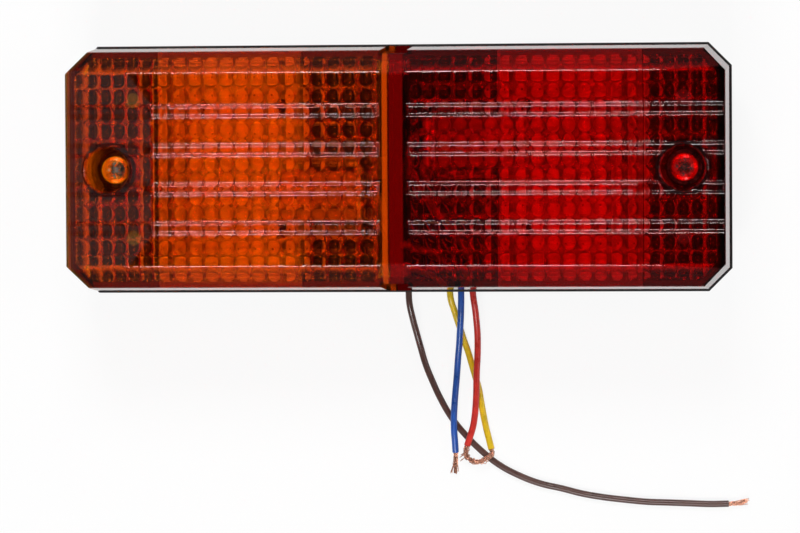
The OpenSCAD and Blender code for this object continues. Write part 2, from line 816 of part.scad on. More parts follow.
module reflector() {
    color([0.85, 0.86, 0.88]) difference() {
        refl_form(0);
        refl_form(refl_t);
        translate([refl_in - 1, 0, axis_z]) rotate([0, 90, 0])
            cylinder(h = refl_t + 2, r = ball_d / 2 + 1, $fn = fine);
        translate([refl_in - 1, -bulb_y - refl_notch, refl_z + refl_h - refl_notch_deep])
            cube([refl_t + 2, 2 * (bulb_y + refl_notch), refl_h]);
        for (p = refl_pins) translate([p[0], p[1], refl_z - 1])
            cylinder(h = 3, r = pin_stake_r + 0.1, $fn = small);
    }
}

module amber_reflector() {
    mirror([1, 0, 0]) reflector();
}

module red_reflector() {
    reflector();
}

module earth_strip() {
    reach = rivet_in + rivet_head_d / 2 + 1;
    color([0.8, 0.65, 0.3]) difference() {
        translate([-reach, -strip_w / 2, floor_t]) cube([2 * reach, strip_w, strip_t]);
        for (p = rivet_places) translate([p[0], p[1], 0])
            cylinder(h = foot_floor + 1, r = rivet_d / 2 + thread_gap, $fn = small);
    }
}

module earth_terminal() {
    color([0.75, 0.76, 0.74]) {
        difference() {
            union() {
                translate([terminal_x, 0, foot_floor])
                    cylinder(h = bracket_t, r = rivet_head_d / 2 + 0.6, $fn = small);
                translate([terminal_x - terminal_neck / 2, barrel_start - 1, foot_floor])
                    cube([terminal_neck, 2 - barrel_start, bracket_t]);
            }
            translate([terminal_x, 0, 0])
                cylinder(h = 2 * foot_floor, r = rivet_d / 2 + thread_gap, $fn = small);
        }
        translate([terminal_x, barrel_start, barrel_z]) rotate([90, 0, 0])
            cylinder(h = barrel_start - barrel_end, r = barrel_r, $fn = small);
    }
}

module rivets() {
    shank = foot_floor + bracket_t - rivet_sink;
    color([0.8, 0.8, 0.8]) for (p = rivet_places) translate([p[0], p[1], rivet_sink]) {
        cylinder(h = shank, d = rivet_d, $fn = small);
        translate([0, 0, shank]) dome_head();
        mirror([0, 0, 1]) dome_head();
    }
}

module dome_head() {
    dome_r = rivet_head_d * 0.75;
    intersection() {
        cylinder(h = rivet_head_h, d = rivet_head_d, $fn = small);
        translate([0, 0, rivet_head_h - dome_r]) sphere(dome_r, $fn = fine);
    }
}

// Bent strip that carries a socket: an upright leg with a round top, and a foot
module bracket() {
    bend = 2 * bracket_t;
    color([0.7, 0.71, 0.7]) translate([0, bulb_y, 0]) difference() {
        intersection() {
            along_y(2 * bracket_half) {
                translate([bracket_u, foot_floor + bend]) square([bracket_t, 2 * axis_z]);
                translate([bracket_u + bend, foot_floor])
                    square([foot_len - bend, bracket_t]);
                translate([bracket_u + bend, foot_floor + bend]) difference() {
                    circle(bend, $fn = small);
                    circle(bend - bracket_t, $fn = small);
                    translate([0, -bend]) square(2 * bend);
                    translate([-bend, 0]) square(2 * bend);
                }
            }
            translate([lens_len / 2, 0, 0]) along_x(lens_len) {
                translate([0, axis_z]) circle(bracket_half, $fn = fine);
                translate([-bracket_half, 0]) square([2 * bracket_half, axis_z]);
            }
        }
        translate([0, 0, axis_z]) rotate([0, 90, 0])
            cylinder(h = bracket_u + bracket_t + 1, r = shell_r_out + leg_gap, $fn = fine);
        for (p = [rivet_places[0], rivet_places[1]]) translate([p[0], p[1] - bulb_y, 0])
            cylinder(h = foot_floor + 2, r = rivet_d / 2 + thread_gap, $fn = small);
    }
}

module amber_bracket() {
    rotate(180) bracket();
}

module red_bracket() {
    bracket();
}

// Turns a part built along +Z to run outwards from the middle on one bulb's axis
module on_axis(side) {
    rotate(side < 0 ? 180 : 0) translate([0, bulb_y, axis_z]) rotate([0, 90, 0]) children();
}

// Socket shell with an inturned back lip, a seating flange and two bayonet slots, one of
// them deeper by step
module socket(step) {
    leg_face = bracket_u + bracket_t;
    mouth = socket_u + socket_len;
    color([0.8, 0.66, 0.32]) difference() {
        union() {
            translate([0, 0, socket_u]) cylinder(h = socket_len, r = shell_r_out, $fn = fine);
            translate([0, 0, leg_face]) cylinder(h = socket_t, r = shell_r_out + flange_w, $fn = fine);
        }
        translate([0, 0, socket_u + socket_t])
            cylinder(h = socket_len, r = shell_r_in, $fn = fine);
        translate([0, 0, socket_u - 1])
            cylinder(h = socket_len, r = second_contact + wire_d / 2 + 0.5, $fn = fine);
        for (turn = [0, 180]) rotate(turn) translate([0, 0, turn > 0 ? 0 : -step]) {
            translate([0, -slot_w / 2, pin_u - slot_w / 2])
                cube([2 * cap_d, slot_w, mouth - pin_u + slot_w + step]);
            translate([0, 0, pin_u - slot_w / 2]) linear_extrude(slot_w)
                polygon([[0, 0], [cap_d, 0], [cap_d, cap_d / 2]]);
        }
    }
}

module spring() {
    wire = 0.8;
    color([0.75, 0.75, 0.75]) translate([0, 0, socket_u + socket_t + wire / 2 + 0.05])
        tube(helix(shell_r_in - wire, 2, spring_room - wire - 0.1, 12), wire);
}

// Insulating disc with a hole for each contact rivet
module wafer(offsets) {
    color([0.45, 0.25, 0.12]) difference() {
        translate([0, 0, wafer_u]) cylinder(h = wafer_t, r = shell_r_in - wafer_gap, $fn = fine);
        for (y = offsets) translate([0, y, wafer_u - 1])
            cylinder(h = wafer_t + 2, r = contact_r + thread_gap, $fn = small);
    }
}

// Contact rivets of a socket: a head towards the bulb and a tail for the lead
module socket_contact(offsets) {
    color([0.85, 0.7, 0.35]) for (y = offsets)
        translate([0, y, wafer_u - contact_tail]) {
            cylinder(h = contact_tail + wafer_t + tiny, r = contact_r, $fn = small);
            cylinder(h = contact_tail - 0.1, r = contact_r + contact_swell, $fn = small);
            translate([0, 0, contact_tail + wafer_t])
                cylinder(h = contact_h, r1 = contact_face_r, r2 = contact_face_r - contact_taper,
                    $fn = small);
        }
}

// Cap with two bayonet pins, one of them nearer to the contacts by step
module bulb_cap(step) {
    color([0.82, 0.68, 0.36]) difference() {
        union() {
            translate([0, 0, cap_u]) cylinder(h = cap_len, d = cap_d, $fn = fine);
            for (s = [-1, 1])
                translate([0, 0, pin_u - (s > 0 ? step : 0)]) rotate([0, s * 90, 0])
                    cylinder(h = shell_r_out + pin_reach, r = pin_r, $fn = small);
        }
        translate([0, 0, cap_u + insulator_h / 2])
            cylinder(h = cap_len, d = cap_d - 2 * cap_wall, $fn = fine);
        translate([0, 0, cap_u - 1])
            cylinder(h = 3, r = cap_d / 2 - cap_hole_gap, $fn = fine);
    }
}

module bulb_insulator(offsets) {
    color([0.1, 0.08, 0.08]) difference() {
        translate([0, 0, bulb_u + tip_h])
            cylinder(h = insulator_h, r1 = cap_d / 2 - cap_hole_gap - 1,
                r2 = cap_d / 2 - cap_hole_gap, $fn = fine);
        for (y = offsets) translate([0, y, bulb_u])
            cylinder(h = tip_h + insulator_h + 1, r = tip_root_r + thread_gap, $fn = small);
    }
}

module bulb_contact(offsets) {
    root = len(offsets) > 1 ? double_tip_r : tip_r;
    color([0.7, 0.7, 0.68]) for (y = offsets) translate([0, y, bulb_u]) {
        cylinder(h = tip_h, r1 = tip_r - tip_taper, r2 = root, $fn = small);
        cylinder(h = tip_h + insulator_h, r = tip_root_r, $fn = small);
    }
}

// Ball, shoulder and neck of the glass, moved in by t
module glass_form(t) {
    translate([0, 0, ball_u]) sphere(ball_d / 2 - t, $fn = fine);
    translate([0, 0, neck_u - (t > 0 ? 1 : 0)])
        cylinder(h = ball_u - neck_u, r = neck_r - t, $fn = fine);
    translate([0, 0, cap_u + cap_len])
        cylinder(h = ball_u - cap_u - cap_len - shoulder_back, r1 = neck_r - t,
            r2 = ball_d / 2 - shoulder_in - t, $fn = fine);
}

module bulb_glass() {
    color([0.9, 0.93, 0.95, 0.35]) difference() {
        glass_form(0);
        glass_form(glass_t);
    }
}

// Glass stem whose flare closes the neck
module bulb_stem() {
    color([0.88, 0.92, 0.94, 0.5]) {
        translate([0, 0, neck_u])
            cylinder(h = stem_flare_h, r = neck_r - glass_t - thread_gap, $fn = fine);
        translate([0, 0, neck_u + 1])
            cylinder(h = stem_top - neck_u - 3, r1 = stem_r, r2 = pinch_t, $fn = small);
        translate([-pinch_w / 2, -pinch_t / 2, stem_top - pinch_h])
            cube([pinch_w, pinch_t, pinch_h]);
    }
}

// Support wires that stand on the stem, with a filament across their tips at each height
module filament(heights) {
    color([0.5, 0.5, 0.52]) for (h = heights) {
        x = h > 0 ? tail_coil_half : coil_half;
        for (s = [-1, 1]) translate([s * x, 0, stem_top])
            cylinder(h = ball_u - h - stem_top, r = support_r, $fn = small);
        translate([-x - tiny, 0, ball_u - h]) rotate([0, 90, 0])
            cylinder(h = 2 * (x + tiny), r = coil_r, $fn = small);
    }
}

module amber_socket() { on_axis(-1) socket(0); }
module red_socket() { on_axis(1) socket(pin_step); }
module amber_spring() { on_axis(-1) spring(); }
module red_spring() { on_axis(1) spring(); }
module amber_wafer() { on_axis(-1) wafer(single); }
module red_wafer() { on_axis(1) wafer(double); }
module amber_socket_contact() { on_axis(-1) socket_contact(single); }
module red_socket_contacts() { on_axis(1) socket_contact(double); }
module amber_bulb_cap() { on_axis(-1) bulb_cap(0); }
module red_bulb_cap() { on_axis(1) bulb_cap(pin_step); }
module amber_bulb_insulator() { on_axis(-1) bulb_insulator(single); }
module red_bulb_insulator() { on_axis(1) bulb_insulator(double); }
module amber_bulb_contact() { on_axis(-1) bulb_contact(single); }
module red_bulb_contacts() { on_axis(1) bulb_contact(double); }
module amber_bulb_stem() { on_axis(-1) bulb_stem(); }
module red_bulb_stem() { on_axis(1) bulb_stem(); }
module amber_filament() { on_axis(-1) filament([0]); }
module red_filaments() { on_axis(1) filament([0, tail_lift]); }
module amber_bulb_glass() { on_axis(-1) bulb_glass(); }
module red_bulb_glass() { on_axis(1) bulb_glass(); }

module brown_lead() { color([0.29, 0.17, 0.14]) tube(brown_lead_route, wire_d); }
module yellow_lead() { color([0.9, 0.78, 0.05]) tube(yellow_lead_route, wire_d); }
module blue_lead() { color([0.1, 0.3, 0.7]) tube(blue_lead_route, wire_d); }
module red_lead() { color([0.8, 0.12, 0.1]) tube(red_lead_route, wire_d); }
module brown_wire() { color([0.29, 0.17, 0.14]) tube(brown_route, wire_d); }
module yellow_wire() { color([0.9, 0.78, 0.05]) tube(yellow_route, wire_d); }
module blue_wire() { color([0.1, 0.3, 0.7]) tube(blue_route, wire_d); }
module red_wire() { color([0.8, 0.12, 0.1]) tube(red_route, wire_d); }
module brown_strands() { color([0.8, 0.5, 0.35]) tube(brown_strand_route, strand_d); }
module blue_strands() { color([0.8, 0.5, 0.35]) tube(blue_strand_route, strand_d); }
module twisted_strands() { color([0.8, 0.5, 0.35]) tube(twist_route, strand_d); }

housing();
gasket();
amber_lens();
red_lens();
lens_screws();
amber_reflector();
red_reflector();
earth_strip();
earth_terminal();
rivets();
amber_bracket();
red_bracket();
amber_socket();
red_socket();
amber_spring();
red_spring();
amber_wafer();
red_wafer();
amber_socket_contact();
red_socket_contacts();
amber_bulb_cap();
red_bulb_cap();
amber_bulb_insulator();
red_bulb_insulator();
amber_bulb_contact();
red_bulb_contacts();
amber_bulb_stem();
red_bulb_stem();
amber_filament();
red_filaments();
amber_bulb_glass();
red_bulb_glass();
earth_grommet();
feed_grommet();
brown_lead();
yellow_lead();
blue_lead();
red_lead();
brown_wire();
yellow_wire();
blue_wire();
red_wire();
brown_strands();
blue_strands();
twisted_strands();
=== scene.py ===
"""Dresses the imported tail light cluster: clear lens halves, screws, coils, wires and finishes.

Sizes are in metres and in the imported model's own frame: +Z out of the lens, +X from the
amber end to the red end, and the wires leave the wall on the -Y side.
"""
import math
import random

import bmesh
import bpy
from bpy.props import FloatProperty, FloatVectorProperty, IntProperty, PointerProperty
from mathutils import Euler, Matrix, Vector


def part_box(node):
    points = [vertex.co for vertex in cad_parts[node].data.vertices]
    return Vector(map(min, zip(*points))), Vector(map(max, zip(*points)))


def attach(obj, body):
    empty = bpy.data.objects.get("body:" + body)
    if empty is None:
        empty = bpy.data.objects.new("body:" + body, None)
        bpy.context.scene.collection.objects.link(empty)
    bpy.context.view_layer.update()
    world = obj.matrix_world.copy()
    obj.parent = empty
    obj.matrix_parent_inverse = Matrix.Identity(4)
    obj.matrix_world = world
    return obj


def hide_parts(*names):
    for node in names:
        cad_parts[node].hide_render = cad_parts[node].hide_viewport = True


bl_info = {
    "name": "Tail Light Cluster",
    "version": (1, 0, 0),
    "blender": (4, 5, 0),
    "location": "View3D > Sidebar > Tail Light",
    "description": "Makes the clear lens halves, screws, coils, wires and finishes of a rear lamp",
    "category": "Add Mesh",
}

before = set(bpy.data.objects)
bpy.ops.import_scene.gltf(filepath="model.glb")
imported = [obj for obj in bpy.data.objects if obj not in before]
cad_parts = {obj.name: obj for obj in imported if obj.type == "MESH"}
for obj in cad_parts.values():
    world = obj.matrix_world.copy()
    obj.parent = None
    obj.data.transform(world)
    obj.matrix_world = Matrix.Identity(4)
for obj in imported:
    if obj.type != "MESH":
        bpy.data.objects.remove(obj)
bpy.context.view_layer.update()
SCRATCH = "scratch"

ABOVE = 0.06  # a height above the whole lens
CAVITY_X = (-0.006, 0.096)  # reach of the room that is cut out under the lens face
CAVITY_Y = 0.037
WALL_GAP = 0.0004  # how far the outermost pillows stay off the walls
GROOVE_DROP = 0.00015  # how far the grooves lie below the plain inner face
THREAD = 0.0007  # pitch of the screws' thread
BULB_Y = 0.0075  # how far each bulb's axis lies from the middle line
BULB_Z = 0.024  # height of the bulbs' axes
FILAMENT_X = 0.05465  # how far the first filament of each bulb lies from the weld
GOLDEN_ANGLE = 2.39996  # turn between neighbouring strands, which fills a round bundle
FLOOR_GLOW = 0.88  # how much of the floor that the camera sees is plain white
PAINTED_SHADOW_X, PAINTED_SHADOW_Y = 0.085, 0.03  # half sizes of the floor patch under the lamp that carries a painted shadow
PAINTED_SHADOW_GREY = 0.03  # tone of the painted shadow on the floor there


def length(name, description, default, low=0.0):
    """A size in metres, shown in the scene's own unit."""
    return FloatProperty(
        name=name, description=description, default=default, min=low, unit="LENGTH", precision=5
    )


def colour(name, description, default):
    """A finish's linear colour."""
    return FloatVectorProperty(
        name=name, description=description, default=default, subtype="COLOR", size=3,
        min=0.0, max=1.0,
    )


class LensSizes(bpy.types.PropertyGroup):
    """Sizes of the lens moulding."""

    long_x: length("Length", "Length of the lens at its front edge", 0.1853)
    wide_y: length("Width", "Width of the lens at its front edge", 0.0665)
    front_z: length("Front height", "Height of the flat front face", 0.046)
    foot_z: length("Foot height", "Height of the lens foot on its gasket", 0.0195)
    corner_cut: length("Corner cut", "Leg of the cut-off corners", 0.006)
    wall: length("Wall", "Wall of the moulding", 0.0024)
    side_lean: length("Side lean", "How far the side walls lean out at the foot", 0.0017)
    end_lean: length("End lean", "How far the end walls lean out at the foot", 0.001)
    bevel_run: length("Bevel run", "Width of the bevel along each long edge", 0.0064)
    bevel_drop: length("Bevel drop", "Drop of that bevel", 0.0032)
    end_run: length("End run", "Length of the sloping end section", 0.0246)
    end_drop: length("End drop", "Drop of the sloping end section", 0.0006)
    edge_round: length("Edge round", "Rounding of the outer edges", 0.0005)
    channel_half: length("Channel half width", "Half width of the sunk channel", 0.0038)
    channel_depth: length("Channel depth", "Depth of the channel", 0.001)
    backing: length("Channel backing", "Extra wall behind the channel", 0.0008)
    joint_x: length("Weld place", "Where the two colours meet", -0.0012, -0.01)


class PatternSizes(bpy.types.PropertyGroup):
    """Sizes of the bars, the pillow optics and the screw recesses."""

    bar_count: IntProperty(name="Bars", description="Number of raised bars", default=4, min=1)
    bar_pitch: length("Bar pitch", "Distance between the bars", 0.01092)
    bar_foot: length("Bar foot", "Width of a bar at its foot", 0.00358)
    bar_top: length("Bar top", "Width of a bar at its top", 0.00196)
    bar_rise: length("Bar rise", "Height of a bar", 0.0007)
    bar_round: length("Bar round", "Rounding of a bar's edges and of its foot", 0.00085)
    pitch_x: length("Pillow pitch", "Pitch of the pillows along the lamp", 0.00433)
    pitch_end: length("End pillow pitch", "Pitch of the pillows in the end sections", 0.00365)
    pitch_y: length("Pillow pitch across", "Pitch of the pillows across the lamp", 0.00467)
    curve_x: length("Pillow curve", "Radius of a pillow along the lamp", 0.002)
    curve_y: length("Pillow curve across", "Radius of a pillow across the lamp", 0.00245)
    amber_x: length("Amber pillows", "Where a groove of the amber half lies", 0.06635)
    red_x: length("Red pillows", "Where a groove of the red half lies", 0.0687)
    amber_y: length("Amber rows", "Shift of the amber half's rows across", -0.00064, -0.01)
    red_y: length("Red rows", "Shift of the red half's rows across", 0.00036, -0.01)
    recess_x: length("Recess place", "Distance of a screw recess from the middle", 0.0808)
    recess_r: length("Recess radius", "Radius of a recess at its mouth", 0.0063)
    recess_taper: length("Recess taper", "How much the radius shrinks", 0.0009)
    recess_wall: length("Recess wall", "Wall of the recess tube", 0.0016)
    recess_ring: length("Recess ring", "Width of the raised ring", 0.001)
    recess_floor_z: length("Recess floor", "Height at which the screw seats", 0.029)
    recess_floor: length("Recess floor wall", "Thickness of the recess floor", 0.003)
    screw_d: length("Screw", "Diameter of the screw thread", 0.004)
    head_d: length("Screw head", "Diameter of the pan head", 0.008)
    head_h: length("Screw head height", "Height of the pan head", 0.0026)
    screw_len: length("Screw length", "Length under the head", 0.018)
    wire_d: length("Wire", "Outer diameter of a wire", 0.0019)
    strand_d: length("Strand", "Diameter of one copper strand", 0.00022)


class LampFinish(bpy.types.PropertyGroup):
    """Colours of the finishes."""

    amber: colour("Amber", "Surface tint of the clear amber plastic", (1.0, 0.5, 0.06))
    red: colour("Red", "Surface tint of the clear red plastic", (0.95, 0.08, 0.08))
    amber_deep: colour("Deep amber", "What a millimetre of it lets through", (0.975, 0.81, 0.45))
    red_deep: colour("Deep red", "What a millimetre of it lets through", (0.94, 0.4, 0.4))
    black: colour("Black", "Black moulding", (0.018, 0.018, 0.019))
    rubber: colour("Rubber", "Black rubber", (0.022, 0.022, 0.022))
    zinc: colour("Zinc plate", "Plated screws", (0.76, 0.75, 0.71))
    sheet: colour("Bright sheet", "Pressed reflector sheet", (0.93, 0.93, 0.94))
    brass: colour("Brass", "Aged brass sheet", (0.36, 0.27, 0.13))
    tin: colour("Tin", "Tinned metal", (0.72, 0.72, 0.7))
    steel: colour("Steel", "Zinc plated steel", (0.6, 0.61, 0.6))
    board: colour("Board", "Pressed board", (0.28, 0.13, 0.055))
    brown_wire: colour("Brown wire", "Brown sleeve", (0.085, 0.036, 0.028))
    yellow_wire: colour("Yellow wire", "Yellow sleeve", (0.78, 0.53, 0.01))
    blue_wire: colour("Blue wire", "Blue sleeve", (0.015, 0.085, 0.4))
    red_wire: colour("Red wire", "Red sleeve", (0.6, 0.028, 0.018))
    copper: colour("Copper", "Bare copper strands", (0.7, 0.36, 0.25))
    paper: colour("Floor", "Floor that the lamp lies on", (0.9, 0.9, 0.9))


# Points that each wire follows, from its grommet to its bared end
ROUTES = {
    "brown": [
        (0.6, -35.1, 6), (0.8, -39, 5.8), (1.6, -43.5, 4.4), (2.5, -47.5, 2.7), (3.6, -52, 1.4),
        (5, -57, 1), (7, -62, 1), (9.3, -67, 1), (12.5, -72.5, 1), (16.5, -77.5, 1), (21, -82, 1),
        (26, -86, 1), (31.5, -89, 1), (38, -91.5, 1), (44.5, -93, 1), (50.5, -94.5, 1),
        (56.5, -95.5, 1), (62.5, -96.2, 1), (69, -96.8, 1), (75, -97, 1), (81, -97.2, 1),
        (87, -97.4, 1), (92.5, -97.3, 1),
    ],
    "yellow": [
        (12.5, -35.1, 6), (12.8, -38, 5.7), (13.6, -41, 4.4), (14.4, -44, 3), (15.3, -47, 1.8),
        (16.2, -50, 1.2), (17.4, -53.5, 1), (18.4, -57, 1), (19.4, -60.5, 1), (20.4, -64, 1),
        (21, -67.5, 1), (21.6, -71, 1), (22.4, -75, 1.2), (23.3, -78.5, 1.8), (24.1, -81.5, 2.4),
    ],
    "blue": [
        (15.8, -35.1, 6), (15.8, -38, 5.9), (15.7, -41, 5.5), (15.5, -44.5, 4.7),
        (15.2, -48, 3.8), (14.9, -51.5, 2.7), (14.5, -55, 1.8), (14.2, -58.5, 1.2),
        (13.9, -62, 1), (13.6, -65.5, 1.4), (13.4, -69, 2.3), (13.3, -72.5, 3.1),
        (13.3, -76, 2.9), (13.5, -79.5, 2.2), (13.6, -82.4, 1.4),
    ],
    "red": [
        (19.1, -35.1, 6), (19.4, -38, 5.8), (19.8, -41, 5.2), (20.1, -44.5, 4.3), (20.3, -48, 3.6),
        (20.3, -51.5, 3.1), (20.2, -55, 2.9), (20, -58.5, 3), (19.9, -62, 3.1), (19.8, -65.5, 3),
        (19.6, -69, 3), (19.3, -72, 2.9), (18.8, -75, 3), (17.9, -78, 3.1), (17.1, -80.4, 3),
    ],
}
# Paths of the bared copper: the loose ends of two wires and the twist that joins the others
BARED = {
    "brown": [(92.3, -97.3, 1), (95.5, -97, 1), (98.4, -96, 1.4)],
    "blue": [(13.6, -82.2, 1.45), (13.6, -85.5, 0.9), (13.4, -89, 0.8)],
    "twisted": [
        (17.12, -80.3, 3), (16.6, -81.9, 2.9), (16.9, -83.6, 2.2), (18.2, -84.9, 1.4),
        (20, -85.4, 1.6), (21.7, -84.9, 2.5), (23, -83.9, 2.8), (24, -83.2, 2.8),
        (24.35, -82.5, 2.6), (24.1, -81.4, 2.42),
    ],
}


# ---- making and joining closed pieces ----


def prism(axis, outline, near, far):
    """Closed prism: an outline across the axis, drawn out along it from near to far."""
    place = {"X": lambda a, b: (near, a, b), "Y": lambda a, b: (a, near, b)}[axis]
    way = {"X": Vector((1, 0, 0)), "Y": Vector((0, 1, 0))}[axis]
    shape = bmesh.new()
    face = shape.faces.new([shape.verts.new(place(a, b)) for a, b in outline])
    grown = bmesh.ops.extrude_face_region(shape, geom=[face])["geom"]
    raised = [v for v in grown if isinstance(v, bmesh.types.BMVert)]
    bmesh.ops.translate(shape, verts=raised, vec=way * (far - near))
    bmesh.ops.recalc_face_normals(shape, faces=shape.faces)
    return shape


def block(low, high):
    """Closed box between two corners."""
    shape = bmesh.new()
    bmesh.ops.create_cube(shape, size=1)
    low, high = Vector(low), Vector(high)
    bmesh.ops.scale(shape, vec=high - low, verts=shape.verts)
    bmesh.ops.translate(shape, vec=(low + high) / 2, verts=shape.verts)
    return shape


def lathe(profile, steps=64):
    """Closed turned piece round Z: the profile runs from the axis out and back to the axis."""
    shape = bmesh.new()
    spots = [shape.verts.new((r, 0, z)) for r, z in profile]
    edges = [shape.edges.new(pair) for pair in zip(spots, spots[1:])]
    bmesh.ops.spin(
        shape, geom=spots + edges, cent=(0, 0, 0), axis=(0, 0, 1), angle=2 * math.pi,
        steps=steps, use_merge=True,
    )
    bmesh.ops.remove_doubles(shape, verts=shape.verts, dist=1e-7)
    bmesh.ops.recalc_face_normals(shape, faces=shape.faces)
    return shape


def round_edges(shape, edges, radius, segments=3):
    """Rounds some edges of a piece."""
    bmesh.ops.bevel(
        shape, geom=edges, offset=radius, affect="EDGES", segments=segments, profile=0.5,
        material=-1, clamp_overlap=True,
    )


def moved(shape, matrix):
    """The same piece, placed by a matrix, with its faces pointing outwards."""
    bmesh.ops.transform(shape, matrix=matrix, verts=shape.verts)
    if matrix.determinant() < 0:
        bmesh.ops.reverse_faces(shape, faces=shape.faces)
    return shape


def scratch_object(shape):
    """A passing object that holds a shape while it is joined or cut."""
    mesh = bpy.data.meshes.new(SCRATCH)
    shape.to_mesh(mesh)
    shape.free()
    holder = bpy.data.objects.new(SCRATCH, mesh)
    bpy.context.scene.collection.objects.link(holder)
    return holder


def combine(base, *steps):
    """Joins, cuts or crosses closed pieces, in order, and returns one closed piece."""
    holder = scratch_object(base)
    tools = []
    for operation, shape in steps:
        tool = scratch_object(shape)
        tools.append(tool)
        cut = holder.modifiers.new("cut", "BOOLEAN")
        cut.operation = operation
        cut.solver = "MANIFOLD"
        cut.object = tool
    bpy.context.view_layer.update()
    graph = bpy.context.evaluated_depsgraph_get()
    mesh = bpy.data.meshes.new_from_object(holder.evaluated_get(graph))
    result = bmesh.new()
    result.from_mesh(mesh)
    bpy.data.meshes.remove(mesh)
    for spare in [holder, *tools]:
        data = spare.data
        bpy.data.objects.remove(spare)
        bpy.data.meshes.remove(data)
    open_edges = sum(1 for edge in result.edges if not edge.is_manifold)
    if open_edges or not result.faces:
        raise RuntimeError(f"a joined shape isn't closed: {open_edges} open edges")
    return result


def settle(shape, name, material, soft_angle=math.radians(14), soft=None):
    """Turns a finished shape into a piece: smooth where its faces meet gently, else crisp."""
    bmesh.ops.triangulate(shape, faces=[f for f in shape.faces if len(f.verts) > 4])
    for face in shape.faces:
        face.smooth = True
        face.material_index = 0
    for edge in shape.edges:
        gentle = edge.calc_face_angle(math.pi) < soft_angle
        edge.smooth = gentle or bool(soft and soft(edge))
    mesh = bpy.data.meshes.new(name)
    shape.to_mesh(mesh)
    shape.free()
    mesh.materials.append(material)
    piece = bpy.data.objects.new(name, mesh)
    bpy.context.scene.collection.objects.link(piece)
    return piece


# ---- finishes ----


def finish(name, colour_value, metallic=0.0, roughness=0.5, **sockets):
    """A new material with its shader set directly; returns it with its nodes and links."""
    material = bpy.data.materials.get(name) or bpy.data.materials.new(name)
    material.use_nodes = True
    nodes, links = material.node_tree.nodes, material.node_tree.links
    shader = nodes["Principled BSDF"]
    shader.inputs["Base Color"].default_value = (*colour_value, 1)
    shader.inputs["Metallic"].default_value = metallic
    shader.inputs["Roughness"].default_value = roughness
    for socket, value in sockets.items():
        shader.inputs[socket.replace("_", " ")].default_value = value
    return material, nodes, links, shader


def place_noise(nodes, links, scale, detail=3.0, stretch=(1, 1, 1)):
    """Noise on the piece's own coordinates."""
    spot = nodes.new("ShaderNodeTexCoord")
    turn = nodes.new("ShaderNodeMapping")
    turn.inputs["Scale"].default_value = stretch
    noise = nodes.new("ShaderNodeTexNoise")
    noise.inputs["Scale"].default_value = scale
    noise.inputs["Detail"].default_value = detail
    links.new(spot.outputs["Object"], turn.inputs["Vector"])
    links.new(turn.outputs["Vector"], noise.inputs["Vector"])
    return noise


def vary(tree, source, socket, low, high):
    """Lets a noise move a value between two limits."""
    tree.links.new(slope(tree, source.outputs["Fac"], 0.3, 0.7, low, high), socket)


def roughen(nodes, links, source, shader, strength, distance):
    """Lets a noise raise fine grain on the surface."""
    bump = nodes.new("ShaderNodeBump")
    bump.inputs["Strength"].default_value = strength
    bump.inputs["Distance"].default_value = distance
    links.new(source.outputs["Fac"], bump.inputs["Height"])
    links.new(bump.outputs["Normal"], shader.inputs["Normal"])


def tint(nodes, links, source, shader, dark, light):
    """Lets a noise move the colour between two shades."""
    ramp = nodes.new("ShaderNodeValToRGB")
    ramp.color_ramp.elements[0].position = 0.35
    ramp.color_ramp.elements[1].position = 0.65
    ramp.color_ramp.elements[0].color = (*dark, 1)
    ramp.color_ramp.elements[1].color = (*light, 1)
    links.new(source.outputs["Fac"], ramp.inputs["Fac"])
    links.new(ramp.outputs["Color"], shader.inputs["Base Color"])


def maths(tree, operation, first, second):
    """One sum of two values, each a socket or a number."""
    node = tree.nodes.new("ShaderNodeMath")
    node.operation = operation
    for place, value in zip(node.inputs, (first, second)):
        if isinstance(value, (int, float)):
            place.default_value = value
        else:
            tree.links.new(value, place)
    return node.outputs[0]


def slope(tree, source, start, stop, low, high):
    """A value that goes from low to high while the source goes from start to stop."""
    spread = tree.nodes.new("ShaderNodeMapRange")
    for name, value in (("From Min", start), ("From Max", stop), ("To Min", low), ("To Max", high)):
        spread.inputs[name].default_value = value
    tree.links.new(source, spread.inputs["Value"])
    return spread.outputs["Result"]


def inside(tree, socket, low, high):
    """1 where a value lies between two limits, else 0."""
    above = maths(tree, "GREATER_THAN", socket, low)
    return maths(tree, "MULTIPLY", above, maths(tree, "LESS_THAN", socket, high))


def places(tree):
    """The piece's own X, Y and Z."""
    spot = tree.nodes.new("ShaderNodeTexCoord")
    split = tree.nodes.new("ShaderNodeSeparateXYZ")
    tree.links.new(spot.outputs["Object"], split.inputs["Vector"])
    return [split.outputs[name] for name in "XYZ"]


def shade(value, factor):
    """A lighter or darker shade of a colour."""
    return tuple(min(1.0, part * factor) for part in value)


def clear_plastic(name, value, deep, weld, haze):
    """Tinted clear moulding, polished, that gets deeper in colour the more of it light passes.

    The strip beside the weld, between the two places in weld, is hazy in its deep colour."""
    material, nodes, links, shader = finish(
        name, value, roughness=0.02, IOR=1.49, Transmission_Weight=1.0
    )
    noise = place_noise(nodes, links, 60)
    vary(material.node_tree, noise, shader.inputs["Roughness"], 0.008, 0.03)
    taken = [-1000 * math.log(part) for part in deep]
    body = nodes.new("ShaderNodeVolumeAbsorption")
    body.inputs["Density"].default_value = max(taken)
    body.inputs["Color"].default_value = (*(1 - part / max(taken) for part in taken), 1)
    links.new(body.outputs["Volume"], nodes["Material Output"].inputs["Volume"])
    tree = material.node_tree
    strip = inside(tree, places(tree)[0], *weld)
    mix = nodes.new("ShaderNodeMix")
    mix.data_type = "RGBA"
    links.new(strip, mix.inputs["Factor"])
    mix.inputs["A"].default_value = (*value, 1)
    mix.inputs["B"].default_value = (*(a * b**8 for a, b in zip(value, deep)), 1)
    links.new(mix.outputs["Result"], shader.inputs["Base Color"])
    links.new(slope(tree, strip, 0, 1, 1, 1 - haze), shader.inputs["Transmission Weight"])
    return material


